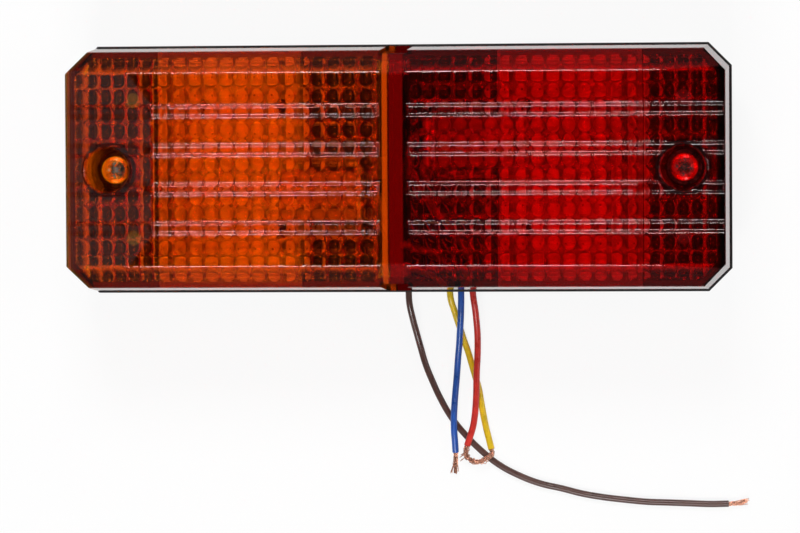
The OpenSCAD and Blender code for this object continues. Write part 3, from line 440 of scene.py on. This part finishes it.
def clear_glass(name):
    """Thin clear blown glass."""
    material, nodes, links, shader = finish(
        name, (0.97, 0.985, 0.99), roughness=0.0, IOR=1.5, Transmission_Weight=1.0
    )
    noise = place_noise(nodes, links, 90)
    vary(material.node_tree, noise, shader.inputs["Roughness"], 0.0, 0.015)
    return material


def moulded(name, value, roughness, grain, depth):
    """Moulded plastic or rubber with a fine grain and slightly uneven gloss."""
    material, nodes, links, shader = finish(name, value, roughness=roughness)
    cloud = place_noise(nodes, links, 45)
    tint(nodes, links, cloud, shader, shade(value, 0.8), shade(value, 1.25))
    vary(material.node_tree, cloud, shader.inputs["Roughness"], roughness - 0.08, roughness + 0.08)
    fine = place_noise(nodes, links, grain, 2)
    roughen(nodes, links, fine, shader, 0.35, depth)
    return material


def metal(name, value, roughness, stretch=(1, 1, 1), grain=900, depth=0.00002):
    """Metal with drawn or pressed marks and patches of duller surface."""
    material, nodes, links, shader = finish(name, value, metallic=1.0, roughness=roughness)
    cloud = place_noise(nodes, links, 120)
    tint(nodes, links, cloud, shader, shade(value, 0.85), shade(value, 1.05))
    marks = place_noise(nodes, links, grain, 2, stretch)
    vary(material.node_tree, marks, shader.inputs["Roughness"], roughness * 0.7, roughness * 1.4)
    roughen(nodes, links, marks, shader, 0.3, depth)
    return material


def sleeve(name, value):
    """Soft glossy wire sleeve with faint scuffs."""
    material, nodes, links, shader = finish(name, value, roughness=0.3)
    cloud = place_noise(nodes, links, 260)
    tint(nodes, links, cloud, shader, shade(value, 0.82), shade(value, 1.12))
    vary(material.node_tree, cloud, shader.inputs["Roughness"], 0.24, 0.4)
    fine = place_noise(nodes, links, 1500, 2)
    roughen(nodes, links, fine, shader, 0.25, 0.00003)
    return material


# ---- the lens ----


def lens_angles(sizes):
    """Slopes of the bevels and of the end sections, and where both start."""
    bevel = math.atan(sizes.bevel_drop / sizes.bevel_run)
    end = math.atan(sizes.end_drop / sizes.end_run)
    return bevel, end, sizes.wide_y / 2 - sizes.bevel_run, sizes.long_x / 2 - sizes.end_run


def lens_form(sizes, inset, foot, rounding=0.0):
    """Solid form of the lens with every face moved in, down to a height foot."""
    bevel, end, flat, kink = lens_angles(sizes)
    edge_z = sizes.front_z - sizes.bevel_drop
    end_z = sizes.front_z - sizes.end_drop
    lean = sizes.side_lean * (edge_z - foot) / (edge_z - sizes.foot_z)
    end_lean = sizes.end_lean * (end_z - foot) / (end_z - sizes.foot_z)
    side, tip = sizes.wide_y / 2 - inset, sizes.long_x / 2 - inset
    top = sizes.front_z - inset
    shoulder = edge_z - inset * (1 - math.sin(bevel)) / math.cos(bevel)
    ridge = flat - inset * math.tan(bevel / 2)
    crosswise = prism("X", [
        (-side - lean, foot), (side + lean, foot), (side, shoulder), (ridge, top),
        (-ridge, top), (-side, shoulder),
    ], -sizes.long_x, sizes.long_x)
    brow = end_z - inset * (1 - math.sin(end)) / math.cos(end)
    bend = kink - inset * math.tan(end / 2)
    lengthwise = prism("Y", [
        (-tip - end_lean, foot), (tip + end_lean, foot), (tip, brow), (bend, top), (-bend, top),
        (-tip, brow),
    ], -sizes.long_x, sizes.long_x)
    if rounding:
        for shape, name in ((crosswise, "x"), (lengthwise, "y")):
            ridges = [
                e for e in shape.edges
                if abs(getattr(e.verts[0].co - e.verts[1].co, name)) > sizes.long_x
                and e.verts[0].co.z > foot + sizes.wall and e.calc_face_angle(0) > math.radians(10)
            ]
            round_edges(shape, ridges, rounding)
    diagonal = (sizes.long_x / 2 + sizes.wide_y / 2 - sizes.corner_cut) / math.sqrt(2) - inset
    shrink = sizes.side_lean * sizes.bevel_drop / (edge_z - sizes.foot_z)
    corners = []
    for turn in (45, -45):
        corner = prism("Y", [
            (-diagonal - lean, foot), (diagonal + lean, foot),
            (diagonal - shrink, sizes.front_z), (shrink - diagonal, sizes.front_z),
        ], -sizes.long_x, sizes.long_x)
        corners.append(("INTERSECT", moved(corner, Matrix.Rotation(math.radians(turn), 4, "Z"))))
    return combine(crosswise, ("INTERSECT", lengthwise), *corners)


def ceiling(sizes, x, y):
    """Height of the lens's plain inner face over a place."""
    bevel, end, flat, kink = lens_angles(sizes)
    top = sizes.front_z - sizes.wall
    over_y = max(0.0, abs(y) - (flat - sizes.wall * math.tan(bevel / 2)))
    over_x = max(0.0, x - (kink - sizes.wall * math.tan(end / 2)))
    height = min(top - over_y * math.tan(bevel), top - over_x * math.tan(end))
    return height - (sizes.backing if x < sizes.channel_half + sizes.backing else 0.0)


def pillow_lines(bounds, curve, steps):
    """Lines across a row of pillows: each one's place, and how far it swells there."""
    lines = []
    for low, high in zip(bounds, bounds[1:]):
        half = (high - low) / 2
        for step in range(steps):
            spot = half * (2 * step / steps - 1)
            lines.append((low + half + spot, (half * half - spot * spot) / (2 * curve)))
    return lines + [(bounds[-1], 0.0)]


def grooves(low, high, start, pitch):
    """Places of the grooves between pillows, from low to high, with one at start."""
    first = math.ceil((low - start) / pitch + 0.3)
    last = math.floor((high - start) / pitch - 0.3)
    return [low] + [start + pitch * number for number in range(first, last + 1)] + [high]


def pillow_cavity(sizes, pattern, groove_x, shift_y):
    """Room under the lens face, with the pillow optics swelling down from its top."""
    _, _, flat, kink = lens_angles(sizes)
    pad = sizes.channel_half + sizes.backing
    inner = sizes.long_x / 2 - sizes.wall
    middle = grooves(pad + 0.0002, kink, groove_x, pattern.pitch_x)
    end = grooves(kink, inner - WALL_GAP, kink, pattern.pitch_end)
    lines_x = [(CAVITY_X[0], 0.0), (pad - 1e-5, 0.0)]
    lines_x += pillow_lines(middle, pattern.curve_x, 14)[:-1]
    lines_x += pillow_lines(end, pattern.curve_x, 14)
    lines_x += [(CAVITY_X[1], 0.0)]
    rows = grooves(-flat, flat, shift_y, pattern.pitch_y)
    edge = sizes.wide_y / 2 - sizes.wall
    lines_y = [(-CAVITY_Y, 0.0)]
    lines_y += pillow_lines([WALL_GAP - edge, *rows, edge - WALL_GAP], pattern.curve_y, 10)
    lines_y += [(CAVITY_Y, 0.0)]
    shape = bmesh.new()
    bmesh.ops.create_grid(
        shape, x_segments=len(lines_x) - 1, y_segments=len(lines_y) - 1, size=1
    )
    for spot in shape.verts:
        x, swell_x = lines_x[round((spot.co.x + 1) / 2 * (len(lines_x) - 1))]
        y, swell_y = lines_y[round((spot.co.y + 1) / 2 * (len(lines_y) - 1))]
        outside = min(swell_x, swell_y) == 0.0 and (x < pad or x > inner or abs(y) > edge)
        swell = 0.0 if outside else swell_x + swell_y
        spot.co = (x, y, ceiling(sizes, x, y) - GROOVE_DROP - swell)
    rim = [e for e in shape.edges if e.is_boundary]
    skirt = bmesh.ops.extrude_edge_only(shape, edges=rim)["geom"]
    for spot in skirt:
        if isinstance(spot, bmesh.types.BMVert):
            spot.co.z = sizes.foot_z - 0.003
    bmesh.ops.holes_fill(shape, edges=[e for e in shape.edges if e.is_boundary], sides=0)
    bmesh.ops.recalc_face_normals(shape, faces=shape.faces)
    return shape


def bars(sizes, pattern):
    """The raised bars of one half, with a sloping end at the channel."""
    end, kink = lens_angles(sizes)[1], lens_angles(sizes)[3]
    steps = []
    for number in range(pattern.bar_count):
        middle = (number - (pattern.bar_count - 1) / 2) * pattern.bar_pitch
        foot, top, rise = pattern.bar_foot / 2, pattern.bar_top / 2, pattern.bar_rise
        lean = math.atan(rise / (foot - top))
        bend = pattern.bar_round
        flare = []
        for step in range(5):
            turn = lean * step / 4
            out = foot + bend * math.tan(lean / 2) - bend * math.sin(turn)
            flare.append((out, bend * (1 - math.cos(turn)) - 0.00001))
        reach_y = flare[0][0] + 0.0002
        outline = [(-reach_y, -0.0004), (reach_y, -0.0004), *flare, (top, rise), (-top, rise)]
        outline += [(-y, z) for y, z in reversed(flare)]
        for first in (True, False):
            reach = kink - 0.003 if first else sizes.end_run / math.cos(end) - 0.0005
            near, extra = (0.003, 0.0032) if first else (-0.0002, 0.0)
            bar = prism("X", outline, near, reach + extra)
            if first:
                cut = bmesh.ops.bisect_plane(
                    bar, geom=bar.verts[:] + bar.edges[:] + bar.faces[:], dist=1e-7,
                    plane_co=(sizes.channel_half, 0, 0), plane_no=(-1, 0, 1), clear_outer=True,
                )
                rim = [e for e in cut["geom_cut"] if isinstance(e, bmesh.types.BMEdge)]
                bmesh.ops.edgeloop_fill(bar, edges=rim)
                bmesh.ops.recalc_face_normals(bar, faces=bar.faces)
            crests = [
                e for e in bar.edges
                if min(v.co.z for v in e.verts) > rise - 1e-6 and e.calc_face_angle(0) > 0.2
            ]
            round_edges(bar, crests, bend * math.tan(lean / 2), 4)
            place = Matrix.Translation((0, middle, sizes.front_z))
            if not first:
                place = Matrix.Translation((kink, middle, sizes.front_z))
                place @= Matrix.Rotation(end, 4, "Y")
            steps.append(("UNION", moved(bar, place)))
    return steps


def lens_half(sizes, pattern, joint, groove_x, shift_y):
    """One half of the lens, on the +X side of its weld."""
    far = sizes.long_x
    cutter = combine(
        block((-sizes.channel_half, -far, sizes.foot_z + 0.001), (sizes.channel_half, far, ABOVE)),
        ("DIFFERENCE", lens_form(sizes, sizes.channel_depth, sizes.foot_z - 0.002)),
    )
    pad = sizes.channel_half + sizes.backing
    backing = combine(
        block((-0.02, -far, 0), (pad, far, ABOVE)),
        ("DIFFERENCE", lens_form(sizes, sizes.wall + sizes.backing, sizes.foot_z - 0.004)),
    )
    cavity = combine(
        lens_form(sizes, sizes.wall, sizes.foot_z - 0.002),
        ("INTERSECT", pillow_cavity(sizes, pattern, groove_x, shift_y)),
        ("DIFFERENCE", backing),
    )
    outer = lens_form(sizes, 0.0, sizes.foot_z, sizes.edge_round)
    x, floor_r = pattern.recess_x, pattern.recess_r - pattern.recess_taper
    seat, top = pattern.recess_floor_z, sizes.front_z
    low = seat - pattern.recess_floor
    wall, ring = pattern.recess_wall, pattern.recess_r + pattern.recess_ring
    mouth = pattern.recess_r
    tube = lathe([
        (0, low), (floor_r + wall, low), (mouth + wall, top - 0.002),
        (ring, top - 0.0018), (ring, top - 0.0003), (ring - 0.0001, top - 0.0001),
        (ring - 0.0003, top), (0, top),
    ], 96)
    hole = lathe([
        (0, seat), (floor_r, seat), (mouth - 0.0001, top - 0.0006),
        (mouth + 0.0001, top - 0.0002), (mouth + 0.0005, top + 0.0001),
        (mouth + 0.0005, top + 0.002), (0, top + 0.002),
    ], 96)
    clear = pattern.screw_d / 2 + 0.0002
    bore = lathe([(0, low - 0.001), (clear, low - 0.001), (clear, seat + 0.001), (0, seat + 0.001)])
    to_screw = Matrix.Translation((x, 0, 0))
    return combine(
        outer, *bars(sizes, pattern), ("DIFFERENCE", cutter), ("DIFFERENCE", cavity),
        ("UNION", moved(tube, to_screw)), ("DIFFERENCE", moved(hole, to_screw)),
        ("DIFFERENCE", moved(bore, to_screw)),
        ("DIFFERENCE", block((-far, -far, 0), (joint, far, ABOVE))),
    )


class LAMP_OT_lens(bpy.types.Operator):
    """Make the amber and the red half of the clear lens, with bars, pillows and recesses"""

    bl_idname = "lamp.lens"
    bl_label = "Lens Halves"

    def execute(self, context):
        sizes, pattern, colours = settings(context)
        for name, side, groove_x, shift_y, weld, haze in (
            ("amber", -1, pattern.amber_x, pattern.amber_y, (-0.0032, -0.0017), 0.6),
            ("red", 1, pattern.red_x, pattern.red_y, (-0.0012, 0.0026), 0.22),
        ):
            shape = lens_half(sizes, pattern, side * sizes.joint_x, groove_x, shift_y)
            moved(shape, Matrix.Diagonal((side, 1, 1, 1)))
            plastic = clear_plastic(
                f"{name}_plastic", getattr(colours, name), getattr(colours, f"{name}_deep"),
                weld, haze,
            )
            piece = settle(shape, f"{name}_lens_half", plastic)
            even = piece.modifiers.new("flat faces stay flat", "WEIGHTED_NORMAL")
            even.keep_sharp = True
            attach(piece, "root")
            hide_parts(f"{name}_lens")
        return {"FINISHED"}


# ---- small pieces ----


class LAMP_OT_screws(bpy.types.Operator):
    """Make the two pan head screws with cross recesses"""

    bl_idname = "lamp.screws"
    bl_label = "Lens Screws"

    def execute(self, context):
        _, pattern, colours = settings(context)
        r, h, shank = pattern.head_d / 2, pattern.head_h, pattern.screw_d / 2
        head = lathe([
            (0, 0), (r * 0.97, 0), (r, 0.00015), (r, h * 0.45), (r * 0.97, h * 0.62),
            (r * 0.88, h * 0.79), (r * 0.72, h * 0.91), (r * 0.45, h * 0.98), (0, h),
        ], 72)
        turns = []
        for number in range(int(pattern.screw_len / THREAD) - 4):
            z = -0.0009 - THREAD * number
            turns += [(shank, z), (shank - 0.0003, z - THREAD / 2)]
        body = lathe([
            (0, -pattern.screw_len), (shank * 0.55, -pattern.screw_len), *reversed(turns),
            (shank, 0.0002), (0, 0.0002),
        ], 32)
        cross = []
        for turn in (0.0, math.pi / 2):
            wing = combine(
                prism("Y", [
                    (-0.0009, h - 0.0019), (0.0009, h - 0.0019), (0.0023, h + 0.0003),
                    (-0.0023, h + 0.0003),
                ], -0.002, 0.002),
                ("INTERSECT", prism("X", [
                    (-0.00045, h - 0.002), (0.00045, h - 0.002), (0.0006, h - 0.00035),
                    (0.0014, h + 0.0004), (-0.0014, h + 0.0004), (-0.0006, h - 0.00035),
                ], -0.003, 0.003)),
            )
            cross.append(("DIFFERENCE", moved(wing, Matrix.Rotation(turn + math.pi / 4, 4, "Z"))))
        well = lathe([
            (0, h - 0.0021), (0.0004, h - 0.0021), (0.0012, h + 0.0003), (0, h + 0.0003),
        ], 24)
        screw = combine(combine(head, ("UNION", body)), *cross, ("DIFFERENCE", well))
        pair = []
        for side, turn in ((-1, 0.0), (1, -0.13)):
            place = Matrix.Translation((side * pattern.recess_x, 0, pattern.recess_floor_z))
            pair.append(moved(screw.copy(), place @ Matrix.Rotation(turn, 4, "Z")))
        screw.free()
        plated = metal("plated_screw", colours.zinc, 0.14, depth=0.000005)
        piece = settle(gather(pair), "pan_head_screws", plated)
        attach(piece, "root")
        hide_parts("lens_screws")
        return {"FINISHED"}


def coil(radius, wire, turns, pitch, start, steps=20, sides=8):
    """Wound wire along Z: a small ring carried round and up at once."""
    shape = bmesh.new()
    ring = bmesh.ops.create_circle(shape, cap_ends=True, radius=wire / 2, segments=sides)["verts"]
    bmesh.ops.rotate(shape, verts=ring, matrix=Matrix.Rotation(math.pi / 2, 3, "X"))
    bmesh.ops.translate(shape, verts=ring, vec=(radius, 0, start))
    bmesh.ops.spin(
        shape, geom=shape.verts[:] + shape.edges[:] + shape.faces[:], cent=(0, 0, 0),
        axis=(0, 0, 1), dvec=(0, 0, pitch / steps), angle=2 * math.pi * turns,
        steps=round(steps * turns), use_merge=False,
    )
    bmesh.ops.remove_doubles(shape, verts=shape.verts, dist=wire / 1000)
    inner = [f for f in shape.faces if all(len(e.link_faces) > 2 for e in f.edges)]
    bmesh.ops.delete(shape, geom=inner, context="FACES_ONLY")
    bmesh.ops.recalc_face_normals(shape, faces=shape.faces)
    return shape


def rod(start, end, radius, sides=12):
    """Round rod between two points."""
    start, end = Vector(start), Vector(end)
    shape = bmesh.new()
    bmesh.ops.create_cone(
        shape, cap_ends=True, segments=sides, radius1=radius, radius2=radius,
        depth=(end - start).length,
    )
    turn = (end - start).to_track_quat("Z", "Y").to_matrix().to_4x4()
    return moved(shape, Matrix.Translation((start + end) / 2) @ turn)


def gather(shapes):
    """Several closed shapes held in one piece."""
    whole = bmesh.new()
    for shape in shapes:
        mesh = bpy.data.meshes.new(SCRATCH)
        shape.to_mesh(mesh)
        shape.free()
        whole.from_mesh(mesh)
        bpy.data.meshes.remove(mesh)
    return whole


class LAMP_OT_coils(bpy.types.Operator):
    """Make the bulbs' wound filaments on their supports, and the springs behind the wafers"""

    bl_idname = "lamp.coils"
    bl_label = "Filaments and Springs"

    def execute(self, context):
        colours = settings(context)[2]
        dark = metal("filament_metal", shade(colours.steel, 0.65), 0.35)
        spring_steel = metal("spring_steel", shade(colours.steel, 0.85), 0.3)
        for node, side, spans in (
            ("amber_filament", -1, [(0.0026, 0.0)]),
            ("red_filaments", 1, [(0.0026, 0.0), (0.0015, 0.004)]),
        ):
            low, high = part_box(node)
            inner = min(abs(low[0]), abs(high[0]))
            y, z = side * BULB_Y, BULB_Z
            shapes = []
            for half, lift in spans:
                x = FILAMENT_X - lift
                for level in (z - half, z + half):
                    shapes.append(rod((side * inner, y, level), (side * x, y, level), 0.00022))
                wound = coil(0.00028, 0.00013, 14, 2 * half / 14, -half)
                shapes.append(moved(wound, Matrix.Translation((side * x, y, z))))
            piece = settle(gather(shapes), f"{node}_wound", dark, soft_angle=1.2)
            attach(piece, "root")
            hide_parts(node)
        for node, side in (("amber_spring", -1), ("red_spring", 1)):
            low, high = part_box(node)
            centre = (Vector(low) + Vector(high)) / 2
            reach = (high[0] - low[0]) - 0.0009
            wound = coil(0.0068, 0.0008, 2.25, reach / 2.25, -reach / 2, 36, 10)
            turn = Matrix.Rotation(math.pi / 2, 4, "Y")
            piece = settle(
                moved(wound, Matrix.Translation((centre.x, side * BULB_Y, BULB_Z)) @ turn),
                f"{node}_wound", spring_steel, soft_angle=1.2,
            )
            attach(piece, "root")
            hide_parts(node)
        return {"FINISHED"}


# ---- wires ----


def drawn_curve(name, lines, thickness, material, resolution=3):
    """Round wires along smooth lines; each line is a list of points in metres."""
    data = bpy.data.curves.new(name, "CURVE")
    data.dimensions = "3D"
    data.bevel_depth = thickness / 2
    data.bevel_resolution = resolution
    data.resolution_u = 6
    data.use_fill_caps = True
    for line in lines:
        spline = data.splines.new("BEZIER")
        spline.bezier_points.add(len(line) - 1)
        for knot, spot in zip(spline.bezier_points, line):
            knot.co = spot
            knot.handle_left_type = knot.handle_right_type = "AUTO"
    data.materials.append(material)
    piece = bpy.data.objects.new(name, data)
    bpy.context.scene.collection.objects.link(piece)
    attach(piece, "root")
    return piece


def along(points, part):
    """Point and direction at a share of the way along a line of points, in millimetres."""
    spots = [Vector(p) for p in points]
    gaps = [(b - a).length for a, b in zip(spots, spots[1:])]
    goal = part * sum(gaps)
    for a, b, gap in zip(spots, spots[1:], gaps):
        if goal <= gap or b is spots[-1]:
            return a.lerp(b, min(goal / gap, 1.0)), (b - a).normalized()
        goal -= gap
    raise RuntimeError("a line of points is too short")


def strands(points, count, twist, fan, seed, spread=0.62, ragged=0.15, splayed=0):
    """Copper strands that leave a wire together, twist, and spread towards their tips."""
    chance = random.Random(seed)
    lines = []
    for number in range(count):
        lane = spread * math.sqrt((number + 0.4) / count)
        phase = number * GOLDEN_ANGLE
        sway = Vector((chance.uniform(-1, 1), chance.uniform(-1, 1), chance.uniform(-0.3, 0.8)))
        if number < splayed:
            sway.x -= 1.6
        reach = 1.0 - chance.uniform(0.0, 0.16 if fan else 0.0)
        line = []
        steps = 9 if fan else 26
        for step in range(steps + 1):
            part = reach * step / steps
            spot, heading = along(points, part)
            side = heading.cross(Vector((0, 0, 1))).normalized()
            up = side.cross(heading)
            angle = phase + twist * part
            loose = lane * (1 + ragged * chance.uniform(-1, 1))
            place = spot + loose * (math.cos(angle) * side + math.sin(angle) * up)
            place += fan * part * part * (sway - heading * sway.dot(heading))
            place.z = max(place.z, 0.16)
            line.append(place / 1000)
        lines.append(line)
    return lines


def spray(start, goal, count, seed):
    """A few stray strands that bow out from one place to about another."""
    chance = random.Random(seed)
    lines = []
    for _ in range(count):
        tip = Vector(goal) + Vector([chance.uniform(-1, 1) * reach for reach in (0.5, 1.1, 0.5)])
        bow = Vector((0, chance.uniform(-0.5, 0.5), chance.uniform(0, 0.5)))
        root = Vector(start)
        lines.append([root / 1000, (root.lerp(tip, 0.5) + bow) / 1000, tip / 1000])
    return lines


class LAMP_OT_wires(bpy.types.Operator):
    """Lay the four wires along their routes, with their bared copper ends"""

    bl_idname = "lamp.wires"
    bl_label = "Wires"

    def execute(self, context):
        _, pattern, colours = settings(context)
        copper = metal("bare_copper", colours.copper, 0.28, grain=2500)
        twist = strands(BARED["twisted"], 20, 16.0, 0.0, 5, spread=0.74, ragged=0.5)
        twist += spray((17.1, -82.6, 2.5), (15.2, -84.2, 1.2), 6, 4)
        brown = strands(BARED["brown"], 17, 2.0, 0.9, 3)
        blue = strands(BARED["blue"], 20, 1.5, 0.7, 8, spread=0.66, splayed=3)
        for bared, node, lines in (
            ("brown", "brown_strands", brown),
            ("blue", "blue_strands", blue),
            ("red", "twisted_strands", twist),
        ):
            name = node.replace("_", "_wire_")
            drawn_curve(name, lines, pattern.strand_d, copper, 1)
            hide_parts(node)
        for name, route in ROUTES.items():
            line = [Vector(p) / 1000 for p in route]
            material = sleeve(f"{name}_sleeve", getattr(colours, f"{name}_wire"))
            wire = drawn_curve(f"{name}_wire_sleeve", [line], pattern.wire_d, material, 5)
            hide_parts(f"{name}_wire")
        return {"FINISHED"}


# ---- carried-over pieces ----


class LAMP_OT_finishes(bpy.types.Operator):
    """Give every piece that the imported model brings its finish"""

    bl_idname = "lamp.finishes"
    bl_label = "Finishes"

    def execute(self, context):
        colours = settings(context)[2]
        brass = metal("brass_sheet", colours.brass, 0.45, stretch=(0.2, 1, 1))
        tin = metal("tinned_metal", colours.tin, 0.35)
        steel = metal("plated_steel", colours.steel, 0.32)
        cap = metal("cap_brass", shade(colours.brass, 1.3), 0.35)
        mirror = metal("bright_sheet", colours.sheet, 0.5, grain=500)
        glass = clear_glass("clear_glass")
        insulator = moulded("insulator_glass", (0.03, 0.02, 0.025), 0.2, 300, 0.00002)
        board = moulded("wafer_board", colours.board, 0.7, 2500, 0.00005)
        rubber = moulded("black_rubber", colours.rubber, 0.62, 1800, 0.00004)
        shared = (
            (moulded("black_housing", colours.black, 0.42, 1400, 0.00006), "housing"),
            (rubber, "gasket earth_grommet feed_grommet"),
            (mirror, "amber_reflector red_reflector"),
            (brass, "earth_strip amber_socket red_socket amber_socket_contact red_socket_contacts"),
            (tin, "earth_terminal amber_bulb_contact red_bulb_contacts"),
            (metal("rivet_metal", shade(colours.tin, 1.1), 0.38), "rivets"),
            (steel, "amber_bracket red_bracket"),
            (board, "amber_wafer red_wafer"),
            (cap, "amber_bulb_cap red_bulb_cap"),
            (insulator, "amber_bulb_insulator red_bulb_insulator"),
            (glass, "amber_bulb_stem red_bulb_stem amber_bulb_glass red_bulb_glass"),
        )
        finishes = {node: material for material, nodes in shared for node in nodes.split()}
        for name in ROUTES:
            finishes[f"{name}_lead"] = bpy.data.materials[f"{name}_sleeve"]
        for node, material in finishes.items():
            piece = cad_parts[node]
            for slot in piece.material_slots:
                slot.material = material
        return {"FINISHED"}


# ---- stage ----


def area_light(name, place, aim, size, power):
    """A big soft lamp that points at a place."""
    data = bpy.data.lights.new(name, "AREA")
    data.shape = "RECTANGLE"
    data.size, data.size_y = size
    data.energy = power
    lamp = bpy.data.objects.new(name, data)
    lamp.location = place
    lamp.rotation_euler = (Vector(aim) - Vector(place)).to_track_quat("-Z", "Y").to_euler()
    bpy.context.scene.collection.objects.link(lamp)


class LAMP_OT_stage(bpy.types.Operator):
    """Set up the pale floor, the soft lamps and the camera at the photograph's angle"""

    bl_idname = "lamp.stage"
    bl_label = "Stage"

    def execute(self, context):
        colours = settings(context)[2]
        scene = context.scene
        scene.view_settings.view_transform = "Standard"
        shape = bmesh.new()
        bmesh.ops.create_grid(shape, x_segments=1, y_segments=1, size=3)
        mesh = bpy.data.meshes.new("floor")
        shape.to_mesh(mesh)
        shape.free()
        paper, nodes, links, shader = finish("floor_paper", colours.paper, roughness=0.9)
        white = nodes.new("ShaderNodeEmission")
        white.inputs["Color"].default_value = (1, 1, 1, 1)
        mix = nodes.new("ShaderNodeMixShader")
        path = nodes.new("ShaderNodeLightPath").outputs
        tree = paper.node_tree
        seen = maths(tree, "SUBTRACT", path["Is Glossy Ray"], path["Is Transmission Ray"])
        seen = maths(tree, "MAXIMUM", seen, path["Is Camera Ray"])
        links.new(maths(tree, "MULTIPLY", seen, FLOOR_GLOW), mix.inputs["Fac"])
        # Painted shadow: the paper is painted dark where the lamp hides it, so its holes show
        # nothing bright
        x, y, _ = places(tree)
        painted_shadow = maths(
            tree, "MULTIPLY", inside(tree, x, -PAINTED_SHADOW_X, PAINTED_SHADOW_X),
            inside(tree, y, -PAINTED_SHADOW_Y, PAINTED_SHADOW_Y),
        )
        # the floor's base colour turns from paper to the painted shadow's tone under the lamp
        painted_shadow_tone = slope(tree, painted_shadow, 0, 1, colours.paper[0], PAINTED_SHADOW_GREY)
        links.new(painted_shadow_tone, shader.inputs["Base Color"])
        links.new(shader.outputs["BSDF"], mix.inputs[1])
        links.new(white.outputs["Emission"], mix.inputs[2])
        links.new(mix.outputs["Shader"], nodes["Material Output"].inputs["Surface"])
        mesh.materials.append(paper)
        floor = bpy.data.objects.new("floor", mesh)
        scene.collection.objects.link(floor)

        world = scene.world or bpy.data.worlds.new("world")
        scene.world = world
        world.use_nodes = True
        sky = world.node_tree.nodes["Background"]
        sky.inputs["Color"].default_value = (1, 1, 1, 1)
        tree = world.node_tree
        path = tree.nodes.new("ShaderNodeLightPath").outputs
        split = tree.nodes.new("ShaderNodeSeparateXYZ")
        aim = tree.nodes.new("ShaderNodeTexCoord")
        tree.links.new(aim.outputs["Generated"], split.inputs["Vector"])
        # A bright skyline, dim walls and a dark ceiling, as the lens's faces mirror them
        height = split.outputs["Z"]
        walls = slope(tree, height, 0.02, 0.12, 1.0, 0.2)
        walls = maths(tree, "MULTIPLY", walls, slope(tree, height, 0.65, 0.85, 1.0, 0.1))
        # What light that passes through the lens sees: a white room with a dark spot overhead
        room = slope(tree, height, 0.94, 0.985, 1.0, 0.05)
        room = maths(tree, "MULTIPLY", room, path["Is Transmission Ray"])
        level = maths(tree, "MAXIMUM", maths(tree, "MAXIMUM", walls, room), path["Is Camera Ray"])
        tree.links.new(level, sky.inputs["Strength"])

        target = (-0.05, 0.0, 0.04)
        area_light("strip_back", (-0.056, 0.72, 0.88), target, (0.41, 0.32), 7.0)
        area_light("strip_front", (-0.056, -0.72, 0.88), target, (0.41, 0.32), 7.0)
        area_light("soft_left", (-0.66, 0.0, 1.5), (-0.66, 0.0, 0.0), (0.6, 0.8), 0.7)
        area_light("soft_right", (0.95, 0.1, 0.75), target, (0.4, 0.4), 2.0)

        data = bpy.data.cameras.new("camera")
        data.lens = 191.0
        data.sensor_width = 36.0
        data.clip_start = 0.05
        camera = bpy.data.objects.new("camera", data)
        camera.location = (0.1109, 0.0062, 1.2263)
        camera.rotation_euler = Euler([math.radians(a) for a in (-1.649, 5.27, -0.331)])
        scene.collection.objects.link(camera)
        scene.camera = camera
        return {"FINISHED"}


class LAMP_PT_panel(bpy.types.Panel):
    """Sidebar panel that lists the pieces"""

    bl_idname = "LAMP_PT_panel"
    bl_label = "Tail Light"
    bl_space_type = "VIEW_3D"
    bl_region_type = "UI"
    bl_category = "Tail Light"

    def draw(self, context):
        for step in STEPS:
            self.layout.operator(step.bl_idname)
        for group in settings(context):
            box = self.layout.box()
            for name in group.__annotations__:
                box.prop(group, name)


STEPS = (
    LAMP_OT_stage, LAMP_OT_wires, LAMP_OT_lens, LAMP_OT_screws, LAMP_OT_coils, LAMP_OT_finishes,
)
CLASSES = (LensSizes, PatternSizes, LampFinish, *STEPS, LAMP_PT_panel)


def settings(context):
    """The lens sizes, the pattern sizes and the colours."""
    scene = context.scene
    return scene.lamp_lens, scene.lamp_pattern, scene.lamp_finish


def register():
    for cls in CLASSES:
        bpy.utils.register_class(cls)
    bpy.types.Scene.lamp_lens = PointerProperty(type=LensSizes)
    bpy.types.Scene.lamp_pattern = PointerProperty(type=PatternSizes)
    bpy.types.Scene.lamp_finish = PointerProperty(type=LampFinish)


def unregister():
    del bpy.types.Scene.lamp_finish
    del bpy.types.Scene.lamp_pattern
    del bpy.types.Scene.lamp_lens
    for cls in reversed(CLASSES):
        bpy.utils.unregister_class(cls)


def main():
    """Makes every piece in order."""
    register()
    bpy.ops.lamp.stage()
    bpy.ops.lamp.wires()
    bpy.ops.lamp.lens()
    bpy.ops.lamp.screws()
    bpy.ops.lamp.coils()
    bpy.ops.lamp.finishes()
    bpy.context.view_layer.update()


if __name__ == "__main__":
    main()
